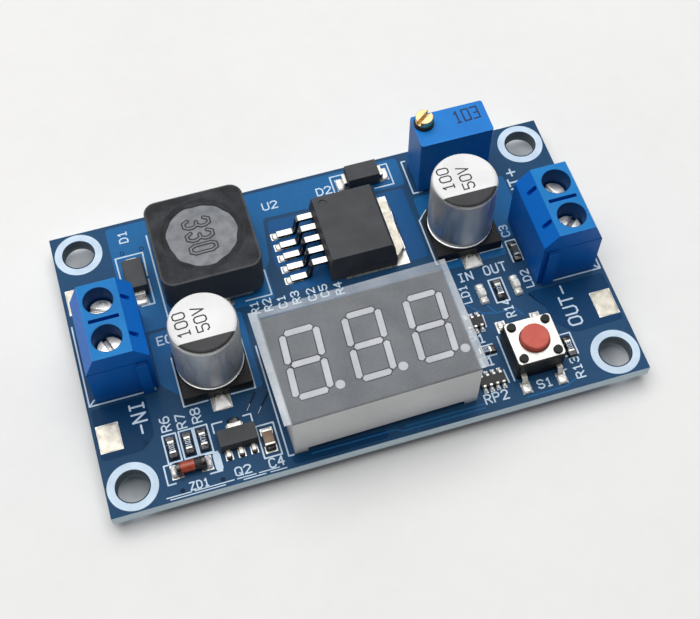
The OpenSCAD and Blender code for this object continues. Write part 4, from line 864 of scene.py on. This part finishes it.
# %% Write a word
def write(shape, word, middle, height, turn, pen, low, thick, width=0.62, gap=0.30):
    """Writes a word of that letter height round its middle; width and gap are shares of the height."""
    step = (width + gap) * height
    length = step * len(word) - gap * height
    turned = Matrix.Rotation(math.radians(turn), 2)
    for place, letter in enumerate(word):
        for moves in pen_moves[letter]:
            points = []
            for x, y in moves:
                flat = Vector((place * step + x / 4 * width * height - length / 2, (y / 6 - 0.5) * height))
                points.append(Vector(middle) + turned @ flat)
            add_paths(shape, [points], pen, low, thick, 8)


def add_words(name, rows, finish):
    """One piece of lettering; each row holds what write needs after the shape."""
    shape = bmesh.new()
    for row in rows:
        write(shape, *row)
    add_piece(name, shape, finish)


print("a pen of", len(pen_moves), "letters")

# %% Name the parts
# Letter height, turn in degrees, letter width as a share of the height, and each word's middle.
words = [
    (1.05, 90, 0.63, {"D1": (-23.9, 17.24)}),
    (1.05, 0, 0.75, {"U2": (-4.7, 16.5)}),
    (1.08, 0, 0.72, {"D2": (2.65, 16.65)}),
    (1.1, 0, 0.65, {"EC": (-22.1, 1.22), "IN": (15.93, -1.04)}),
    (1.25, 0, 0.55, {"OUT": (19.88, -0.95)}),
    (0.97, 90, 0.66, {"LD1": (15.07, -3.45)}),
    (0.95, 90, 0.68, {"LD2": (23.25, -3.5)}),
    (1.1, 90, 0.53, {"R14": (19.55, -6.85)}),
    (1.6, 90, 0.66, {"OUT-": (26.78, -8.6), "OUT+": (26.98, 9.98)}),
    (1.65, -90, 0.62, {"IN-": (-27.28, -8.1)}),
    (1.0, 90, 0.66, {"C3": (23.0, 3.95)}),
    (1.05, 90, 0.70, {"R13": (24.62, -16.9)}),
    (1.05, 0, 0.70, {"S1": (20.1, -17.75)}),
    (1.15, 0, 0.62, {"RP1": (13.85, -9.85), "R11": (13.87, -13.06), "RP2": (13.93, -17.79)}),
    (1.05, 90, 0.72, {"R6": (-24.54, -9.8), "R7": (-22.69, -9.96), "R8": (-20.82, -9.75)}),
    (0.92, 0, 0.58, {"ZD1": (-22.42, -18.25)}),
    (1.0, 0, 0.75, {"Q2": (-17.22, -18.05)}),
    (1.1, 0, 0.62, {"C4": (-13.25, -18.17)}),
    (0.95, 90, 0.74, {"R1": (-10.42, 2.35), "R2": (-8.8, 2.3), "C1": (-6.98, 2.2), "R3": (-5.2, 2.3),
                      "C2": (-3.2, 2.15), "C5": (-1.58, 2.2), "R4": (0.32, 2.0)}),
]
pen_least, pen_share = 0.07, 0.115
rows = [(word, middle, height, turn, pen_least + pen_share * height, board_top, print_t, width)
        for height, turn, width, places in words for word, middle in places.items()]
add_words("print_words", rows, "white print")

# %% [markdown]
# ## Vias and the underside
# Vias are plated holes that join the two copper layers; under the mask each is a small
# ring with a dent. The underside has copper areas too. It isn't in the photograph, so it
# gets what such boards have: three large areas, some tracks and the same vias.

# %% Vias
via_places = [
    (-24.5, 14.9), (-22.0, 14.9), (-27.2, -11.4), (-24.45, -18.5), (-19.7, -18.5), (-4.6, -8.2),
    (-2.2, -12.6), (2.6, -6.4), (4.8, -13.0), (7.4, -8.8), (-8.2, -5.2), (0.4, -15.4), (27.0, 1.8),
    (29.6, 1.8), (-27.0, 1.6), (-29.6, 1.6),
]
via_r, via_wall, via_t = 0.30, 0.13, 0.035


def add_via(shape, place, low, thick):
    ring = bmesh.ops.create_circle(shape, cap_ends=True, segments=14, radius=via_r * mm)["verts"]
    move(shape, ring, place, low)
    lids = raise_faces(shape, list(ring[0].link_faces), thick)
    bmesh.ops.inset_region(shape, faces=lids, thickness=via_wall * mm, depth=-0.6 * abs(thick) * mm)


via_shape = bmesh.new()
for place in via_places:
    add_via(via_shape, place, board_top, via_t)
    add_via(via_shape, place, 0.0, -via_t)
add_piece("vias", via_shape, "mask in a via")

# %% Underside copper
under_areas = [
    [(-25.9, 12.2), (-25.9, 19.0), (25.9, 19.0), (25.9, 12.2), (32.6, 12.2), (32.6, 0.6), (13.4, 0.6),
     (11.2, -1.6), (-11.2, -1.6), (-13.4, 0.6), (-32.6, 0.6), (-32.6, 12.2)],
    [(-32.6, 0.0), (-13.6, 0.0), (-12.2, -1.4), (-12.2, -19.0), (-26.0, -19.0), (-26.0, -12.6),
     (-32.6, -12.6)],
    [(32.6, 0.0), (13.8, 0.0), (12.6, -1.2), (12.6, -19.0), (26.0, -19.0), (26.0, -12.6),
     (32.6, -12.6)],
]
under_tracks = [[(x, -14.6), (x, -7.2)] for x in (-6.15, -3.61, -1.07, 1.47, 4.01)]
under_tracks += [
    [(-9.5, -17.6), (8.6, -17.6), (9.6, -16.6), (9.6, -3.2)],
    [(-10.4, -18.4), (-10.4, -3.0)],
]
under = bmesh.new()
for outline in under_areas:
    add_plate(under, outline, 0.0, -copper_t)
add_paths(under, under_tracks, 0.5, 0.0, -copper_t)
add_piece("underside_copper", under, "mask on copper")

# %% [markdown]
# ## Solder
# Melted solder wets the pad and climbs up the end of each part, so a joint is a smooth
# mound that is higher in the middle. An icosphere squeezed towards a box gives that
# form; the lower half is cut away at the pad and the cut is closed. Each kind of part
# has its own size of mound.

# %% A mound of solder
def add_mound(shape, place, size, turn=0.0, square=0.62, taper=0.0):
    """A mound of that width, depth and height in millimetres on a pad; taper narrows its +y end."""
    ball = bmesh.ops.create_icosphere(shape, subdivisions=2, radius=1.0)["verts"]
    for vert in ball:
        across, along = (math.copysign(abs(vert.co[axis]) ** square, vert.co[axis]) for axis in (0, 1))
        vert.co.x = across * (1 - taper * along) * size[0] / 2 * mm
        vert.co.y = along * size[1] / 2 * mm
        wave = math.sin(vert.co.x * 5200 + place[0] * 3) * math.cos(vert.co.y * 4300 + place[1] * 5)
        vert.co.z *= size[2] * (1 + 0.10 * wave) * mm
    skin = list({thing for vert in ball for thing in [vert, *vert.link_edges, *vert.link_faces]})
    cut = bmesh.ops.bisect_plane(shape, geom=skin, dist=1e-8, plane_co=(0, 0, 0), plane_no=(0, 0, -1),
                                 clear_outer=True)
    rim = [thing for thing in cut["geom_cut"] if isinstance(thing, bmesh.types.BMEdge)]
    bmesh.ops.edgeloop_fill(shape, edges=rim)
    kept = list({vert for thing in cut["geom"] if thing.is_valid and isinstance(thing, bmesh.types.BMFace)
                 for vert in thing.verts})
    rotate(shape, kept, math.radians(turn))
    move(shape, kept, place, pad_top)


def beside(place, turn, offset):
    """A point at an offset from a turned part's middle."""
    return Vector(place) + Matrix.Rotation(math.radians(turn), 2) @ Vector(offset)


print("pads at", round(pad_top / mm, 2), "mm")

# %% Solder on the large parts
can_places = {"input": (-17.5, -3.85), "output": (17.5, 6.0)}
inductor_x, inductor_y = -14.5, 10.2
lead_rows = [8.25 + row * 1.7 for row in range(-2, 3)]
glass_x, glass_y = -22.8, -16.05
button_x, button_y = 20.0, -13.4
transistor_x = -16.8
solder = bmesh.new()
frosted = bmesh.new()
# Mounds at the small chips and the transistor's legs get a dark base colour, a painted dark reflection.
painted_dark_solder = bmesh.new()
for y in lead_rows:
    add_mound(frosted, (-5.20, y), (1.05, 0.95, 0.20), square=0.5)
add_mound(solder, (9.80, 8.25), (0.75, 7.0, 0.6), square=0.45)
for side in (-1, 1):
    for x, y in can_places.values():
        add_mound(frosted, (x, y + side * 5.15), (1.9, 2.1, 0.34), square=0.4, taper=-0.40 * side)
    add_mound(frosted, (-23.6, 10.2 + side * 3.0), (1.9, 1.05, 0.40), square=0.45)
    add_mound(frosted, (7.9 + side * 3.0, 16.85), (1.05, 1.9, 0.40), square=0.45)
    add_mound(solder, (inductor_x, inductor_y + side * 6.3), (3.5, 0.7, 0.6), square=0.5)
    add_mound(frosted, (glass_x + side * 2.05, glass_y), (0.85, 1.6, 0.70))
    add_mound(frosted, (button_x + side * 2.25, button_y - 4.50), (1.25, 1.30, 0.36), square=0.5)
    add_mound(frosted, (button_x + side * 2.25, button_y + 4.55), (0.95, 0.95, 0.36))
for leg in (-1, 0, 1):
    add_mound(painted_dark_solder, (transistor_x + leg * 1.5, -16.15), (0.72, 0.62, 0.40))
add_mound(frosted, (transistor_x, -12.2), (1.9, 0.5, 0.45), square=0.45)
add_mound(painted_dark_solder, (transistor_x, -11.75), (1.5, 0.9, 0.42))
add_piece("solder_on_large_parts", solder, "bright solder")
add_piece("frosted_solder", frosted, "frosted solder")

# %% Solder on the chips
upright_chips = chip_places + [(23.15, 0.55)]
lamps = [(17.05, -4.1), (21.55, -4.1)]
arrays = [(14.3, -7.64), (14.2, -15.62)]
array_resistor = (14.65, -11.7)
chip_mound = (0.88, 1.20, 0.55)
solder = bmesh.new()
for side in (-1, 1):
    for place in upright_chips:
        add_mound(painted_dark_solder, beside(place, 90, (side * 0.99, 0)), chip_mound, 90, square=0.35)
    for place in lamps:
        add_mound(solder, beside(place, 90, (side * 1.05, 0)), (0.85, 1.15, 0.55), 90)
    capacitor_end = beside((-13.4, -15.3), 90, (side * 1.18, 0))
    add_mound(painted_dark_solder if side < 0 else solder, capacitor_end, (0.55, 1.30, 0.70), 90)
    add_mound(painted_dark_solder, beside(array_resistor, 0, (side * 0.99, 0)), chip_mound, square=0.35)
    for place in arrays:
        for element in range(4):
            offset = ((element - 1.5) * 0.8, side * 1.08)
            add_mound(solder, beside(place, 0, offset), (0.40, 0.55, 0.32))
add_piece("solder_on_chips", solder, "frosted solder")
add_piece("dull_solder", painted_dark_solder, "dull solder")

# %% [markdown]
# ## Regulator leads
# The regulator's leads come out straight, drop steeply and end in flat feet. Their side
# view is a plate with twelve corners; it is raised by the lead's width, tilted upright
# and set down five times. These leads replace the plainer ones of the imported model.

# %% Bend the leads
lead_side = [(0, 2.925), (-1.9, 2.925), (-2.22, 2.62), (-2.5, 0.75), (-2.75, 0.45), (-4.78, 0.45),
             (-4.78, 0.0), (-2.55, 0.0), (-2.16, 0.35), (-1.83, 2.25), (-1.63, 2.475), (0, 2.475)]
lead_w = 0.8
lead_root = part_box("regulator_leads")[1].x / mm
leads = bmesh.new()
for y in lead_rows:
    before = set(leads.verts)
    add_plate(leads, lead_side, 0.0, lead_w, 0.07)
    lead = [vert for vert in leads.verts if vert not in before]
    rotate(leads, lead, math.pi / 2, "X")
    move(leads, lead, (lead_root, y + lead_w / 2), pad_top)
lead_piece = add_piece("bent_leads", leads, "lead tin")
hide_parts("regulator_leads")

# %% Tin on the wire pads
wire_tin = bmesh.new()
for x in (-31.15, 31.15):
    for y in (-9.6, 9.6):
        add_mound(wire_tin, (x, y), (2.66, 3.56, 0.07), square=0.25)
add_piece("wire_pad_tin", wire_tin, "tinned pad")

# %% [markdown]
# ## Can tops
# The top of each can is painted white with a black segment that marks one pole, and the
# paint runs a little way over the rounded edge. A profile that follows the edge is spun
# round the can's axis, cut in two along the segment's chord and given a thickness. The
# values are plain numbers: capacitance and voltage.

# %% Spin and cut the painted tops
can_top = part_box("input_can")[1].z
can_flat_r = 3.5
can_edge_r = 0.6
paint_lift = 0.008


def spin_round(shape, profile, steps, closed=False):
    """Spins (radius, height) points in millimetres round an upright axis; returns what it made."""
    before = set(shape.verts)
    line = [shape.verts.new((r * mm, 0, z * mm)) for r, z in profile]
    rails = [shape.edges.new(pair) for pair in zip(line, line[1:] + (line[:1] if closed else []))]
    bmesh.ops.spin(shape, geom=line + rails, cent=(0, 0, 0), axis=(0, 0, 1), angle=2 * math.pi,
                   steps=steps, use_merge=True, use_duplicate=False)
    made = [vert for vert in shape.verts if vert not in before]
    bmesh.ops.remove_doubles(shape, verts=made, dist=0.0005 * mm)
    return [vert for vert in shape.verts if vert not in before]


def painted_top(place, chord, front):
    """Paint on one side of the chord: front is 1 for the part before it and -1 for the rest."""
    shape = bmesh.new()
    reach = can_edge_r + paint_lift
    leans = [math.radians(angle) for angle in (0, 15, 30, 45)]
    edge = [(can_flat_r + reach * math.sin(lean), reach * math.cos(lean) - can_edge_r) for lean in leans]
    spin_round(shape, [(0.0, paint_lift), *edge], 48)
    bmesh.ops.bisect_plane(shape, geom=shape.verts[:] + shape.edges[:] + shape.faces[:], dist=1e-8,
                           plane_co=(0, chord * mm, 0), plane_no=(0, front, 0), clear_outer=True)
    bmesh.ops.recalc_face_normals(shape, faces=shape.faces)
    bmesh.ops.solidify(shape, geom=shape.faces, thickness=-0.012 * mm)
    move(shape, shape.verts, place, can_top)
    return shape


for side, chord in (("input", -2.12), ("output", -1.94)):
    place = can_places[side]
    add_piece(side + "_can_white", painted_top(place, chord, -1), "can white")
    add_piece(side + "_can_black", painted_top(place, chord, 1), "can black")

# %% Roll the cans' lower rims
def add_ring(shape, place, low, section):
    """A ring with a closed section, set down at a place."""
    move(shape, spin_round(shape, section, 48, True), place, low)


rim_r, rim_wire = 4.01, 0.13
eighths = [step * math.pi / 4 for step in range(8)]
rim_section = [(rim_r + rim_wire * math.cos(turn), rim_wire * math.sin(turn)) for turn in eighths]
rims = bmesh.new()
for place in can_places.values():
    add_ring(rims, place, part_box("can_bases")[1].z + 0.08 * mm, rim_section)
add_piece("can_rims", rims, "plated steel")

# %% Write the values
ink_low, ink_t = can_top + 0.019 * mm, 0.006
values = [("100", (-19.86, -3.60), 93), ("50V", (-17.62, -3.45), 93), ("100", (15.23, 6.67), 90),
          ("50V", (17.62, 6.19), 90)]
rows = [(word, middle, 1.4, turn, 0.19, ink_low, ink_t, 0.60, 0.24) for word, middle, turn in values]
add_words("can_values", rows, "dark ink")

# %% [markdown]
# ## Inductor marking and glue
# The core carries a plain value number in hollow digits, which are two layers: a broad
# dark stroke and a narrower pale one on top. Dark glue holds the core in the shield: it
# fills the gap and runs a little over the core, so the core's edge isn't a clean circle.
# The glue is a half-round bead, spun round the axis and then pushed out of true.

# %% Number on the core
core_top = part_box("inductor_core")[1].z
for name, pen, thick, finish in (
    ("inductor_number_edge", 0.60, 0.012, "dark ink"), ("inductor_number", 0.20, 0.024, "ground core")
):
    row = ("330", (-14.77, 10.2), 3.1, -89, pen, core_top, thick, 0.36, 0.24)
    add_words(name, [row], finish)

# %% Glue in the gap
bead_r = 4.58
bead = [(0.0, -0.55), (0.30, -0.55), (0.30, 0.10), (0.66, 0.262), (0.44, 0.29), (0.14, 0.15),
        (-0.08, 0.09), (-0.24, 0.012), (-0.10, -0.30)]
glue = bmesh.new()
for vert in spin_round(glue, [(bead_r + r, z) for r, z in bead], 72, True):
    around = math.atan2(vert.co.y, vert.co.x)
    run = 0.10 * math.sin(3 * around + 0.7) + 0.07 * math.sin(7 * around) + 0.05 * math.sin(13 * around + 2)
    reach = math.hypot(vert.co.x, vert.co.y)
    if reach < bead_r * mm and vert.co.z > 0:
        vert.co *= 1 + run * mm / reach
move(glue, glue.verts, (inductor_x, inductor_y), core_top)
add_piece("inductor_glue", glue, "dark glue")

# %% [markdown]
# ## Trimmer value, chip codes and hole lips
# The trimmer's top carries its value as a plain number code in thin square strokes, and
# a thin rubber ring seals its screw. The chip resistors carry codes too. Round each
# fixing hole a thin dark ring lies over the inner edge of the white ring.

# %% Write the code
trimmer_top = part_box("trimmer_body")[1].z
row = (("1", "square 0", "square 3"), (21.2, 15.87), 1.75, 2, 0.22, trimmer_top, 0.010, 0.47, 0.20)
add_words("trimmer_value", [row], "navy ink")
seal_low, seal_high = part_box("trimmer_seal")
seal = bmesh.new()
seal_section = [(1.15, 0), (1.30, 0), (1.26, 0.35), (1.15, 0.35)]
add_ring(seal, (seal_low + seal_high) / 2 / mm, seal_low.z, seal_section)
seal_piece = add_piece("screw_seal", seal, "black plastic")
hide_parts("trimmer_seal")

# %% Dark lips round the fixing holes
ring_r, hole_r, lip_w, lip_t = 3.0, 1.95, 0.13, 0.045
ring_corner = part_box("fixing_rings")[1] / mm
lips = bmesh.new()
for across in (-1, 1):
    for along in (-1, 1):
        place = (across * (ring_corner.x - ring_r), along * (ring_corner.y - ring_r))
        add_ring(lips, place, board_top, box_line(hole_r, 0, hole_r + lip_w, lip_t)[:4])
add_piece("hole_lips", lips, "mask in a via")

# %% Codes on the chip resistors
chip_top = pad_top + 0.5 * mm
chip_codes = [(word, place, 90) for word, place in zip(("103", "102", "472", "222", "103"), chip_places)]
chip_codes.append(("102", array_resistor, 0))
rows = [(word, place, 0.55, turn, 0.08, chip_top, ink_t, 0.45, 0.20) for word, place, turn in chip_codes]
add_words("chip_codes", rows, "white print")

# %% [markdown]
# ## Display
# Each bar of a digit is a window in the grey face, and a dark line of painted shadow runs
# round it, standing for the shade in the gap between face and window. The line is drawn
# with the same pen stroke as the words, along the outline of each bar. The film that
# protects the face in transport is still on: a thin sheet that stands out at the sides
# and is never quite flat.

# %% Draw painted shadow lines round the bars
line_w = 0.13
digit_w, digit_h, bar_w = 4.8 + line_w, 9.0 + line_w, 0.75 + line_w
bar_tip = bar_w / 3
digit_pitch, digit_up = 7.5, 0.2
bar_inset, side_low, side_drop = 0.65, 0.2 - line_w / 2, 0.5
slant = math.tan(math.radians(4.5))
half_w, half_h = digit_w / 2, digit_h / 2


def level_bar(reach, y):
    """The six corners of a bar that lies level, with its tips at plus and minus reach."""
    right = [(reach - bar_tip, y + bar_w / 2), (reach, y), (reach - bar_tip, y - bar_w / 2)]
    return right + [(-x, 2 * y - level) for x, level in right]


top_bar = level_bar(half_w - bar_inset, half_h - bar_w / 2)
side_top = half_h - side_drop
side_bar = [(-half_w + bar_w / 2, side_low), (-half_w + bar_w, side_low + bar_tip),
            (-half_w + bar_w, side_top - bar_tip), (-half_w + bar_w / 2, side_top),
            (-half_w, side_top - bar_tip), (-half_w, side_low + bar_tip)]
bars = [level_bar(half_w - bar_inset, 0)]
bars += [[(x, y * flip) for x, y in top_bar] for flip in (-1, 1)]
bars += [[(x * across, y * flip) for x, y in side_bar] for across in (-1, 1) for flip in (-1, 1)]
print("bars in a digit", len(bars))

# %% Set out three digits
display_middle, display_turn = (0.2, -10.7), 1.0
# Painted shadow lines round every bar of the three digits.
lines = bmesh.new()
for digit in (-1, 0, 1):
    for bar in bars:
        points = [beside(display_middle, display_turn, (digit * digit_pitch + x + y * slant, y + digit_up))
                  for x, y in bar]
        add_paths(lines, [points + points[:1]], line_w, display_top, ink_t, 8)
add_piece("segment_outlines", lines, "painted gap shadow")

# %% Lay the film on
film_w, film_d, film_t = 24.3, 15.0, 0.05
film_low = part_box("display_film")[0].z
film = bmesh.new()
bmesh.ops.create_grid(film, x_segments=24, y_segments=16, size=0.5)
bmesh.ops.scale(film, verts=film.verts, vec=(film_w * mm, film_d * mm, 1))
for vert in film.verts:
    wave = 0.5 + 0.5 * math.sin(vert.co.x * 420 + 1.3) * math.cos(vert.co.y * 520)
    vert.co.z = (0.02 + 0.03 * wave) * mm
bmesh.ops.solidify(film, geom=film.faces, thickness=film_t * mm)
rotate(film, film.verts, math.radians(display_turn))
move(film, film.verts, beside(display_middle, display_turn, (0, 0.7)), film_low + 0.03 * mm)
film_piece = add_piece("film_sheet", film, "clear film")
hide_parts("display_film")

# %% [markdown]
# ## Small finishing pieces
# The glass diode has a dark band at one end that marks its cathode, spun round the glass.
# Milky resin is cast over each indicator lamp; it has the form of a steep mound.

# %% Cathode band and lamp lenses
glass_r, ink_r = 0.675, 0.705
band = bmesh.new()
spin_round(band, [(glass_r, 0.40), (ink_r, 0.48), (ink_r, 1.18), (glass_r, 1.24)], 32, True)
rotate(band, band.verts, math.pi / 2, "Y")
move(band, band.verts, (glass_x, glass_y), pad_top + 0.75 * mm)
add_piece("cathode_band", band, "dark ink")
lens = bmesh.new()
for place in lamps:
    add_mound(lens, place, (1.10, 1.30, 0.98), square=0.55)
add_piece("lamp_lenses", lens, "lamp body")

# %% [markdown]
# ## Snap dome
# Inside the push button a thin steel dome pushes the button up. When the button goes
# down the dome flattens; here it is a piece of its own, with a mesh of its own. Its arc
# is spun round the button's axis and given a thickness.

# %% Spin the dome
dome_low, dome_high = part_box("button_dome")
dome_middle = (dome_low + dome_high) / 2
dome_t = 0.1 * mm
dome_r = (dome_high.x - dome_low.x) / 2
dome_h = dome_high.z - dome_low.z - dome_t
ball_r = (dome_r ** 2 + dome_h ** 2) / (2 * dome_h)
half_angle = math.asin(dome_r / ball_r)
angles = [half_angle * step / 6 for step in range(7)]
arc = [(ball_r * math.sin(angle) / mm, ball_r * (math.cos(angle) - 1) / mm) for angle in angles]
dome = bmesh.new()
spin_round(dome, arc, 32)
bmesh.ops.recalc_face_normals(dome, faces=dome.faces)
move(dome, dome.verts, dome_middle / mm, dome_high.z)
thicken = dome_t if sum(face.normal.z for face in dome.faces) > 0 else -dome_t
bmesh.ops.solidify(dome, geom=dome.faces, thickness=thicken)
dome_piece = add_piece("snap_dome", dome, "plated steel")
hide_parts("button_dome")
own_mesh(dome_piece)
print("dome from", round(dome_low.z / mm, 2), "to", round(dome_high.z / mm, 2), "mm")

# %% [markdown]
# ## Finish
# The last cell prints how far the highest corner of the dressed model lies from that of
# the CAD model. The visual model has to stay in the box of the CAD model.

# %% Print how far the highest corner moved
visual_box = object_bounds()
grown = [(new - old) / mm for new, old in zip(visual_box[1], cad_box[1])]
print("highest corner moved by", [round(value, 3) for value in grown], "mm")
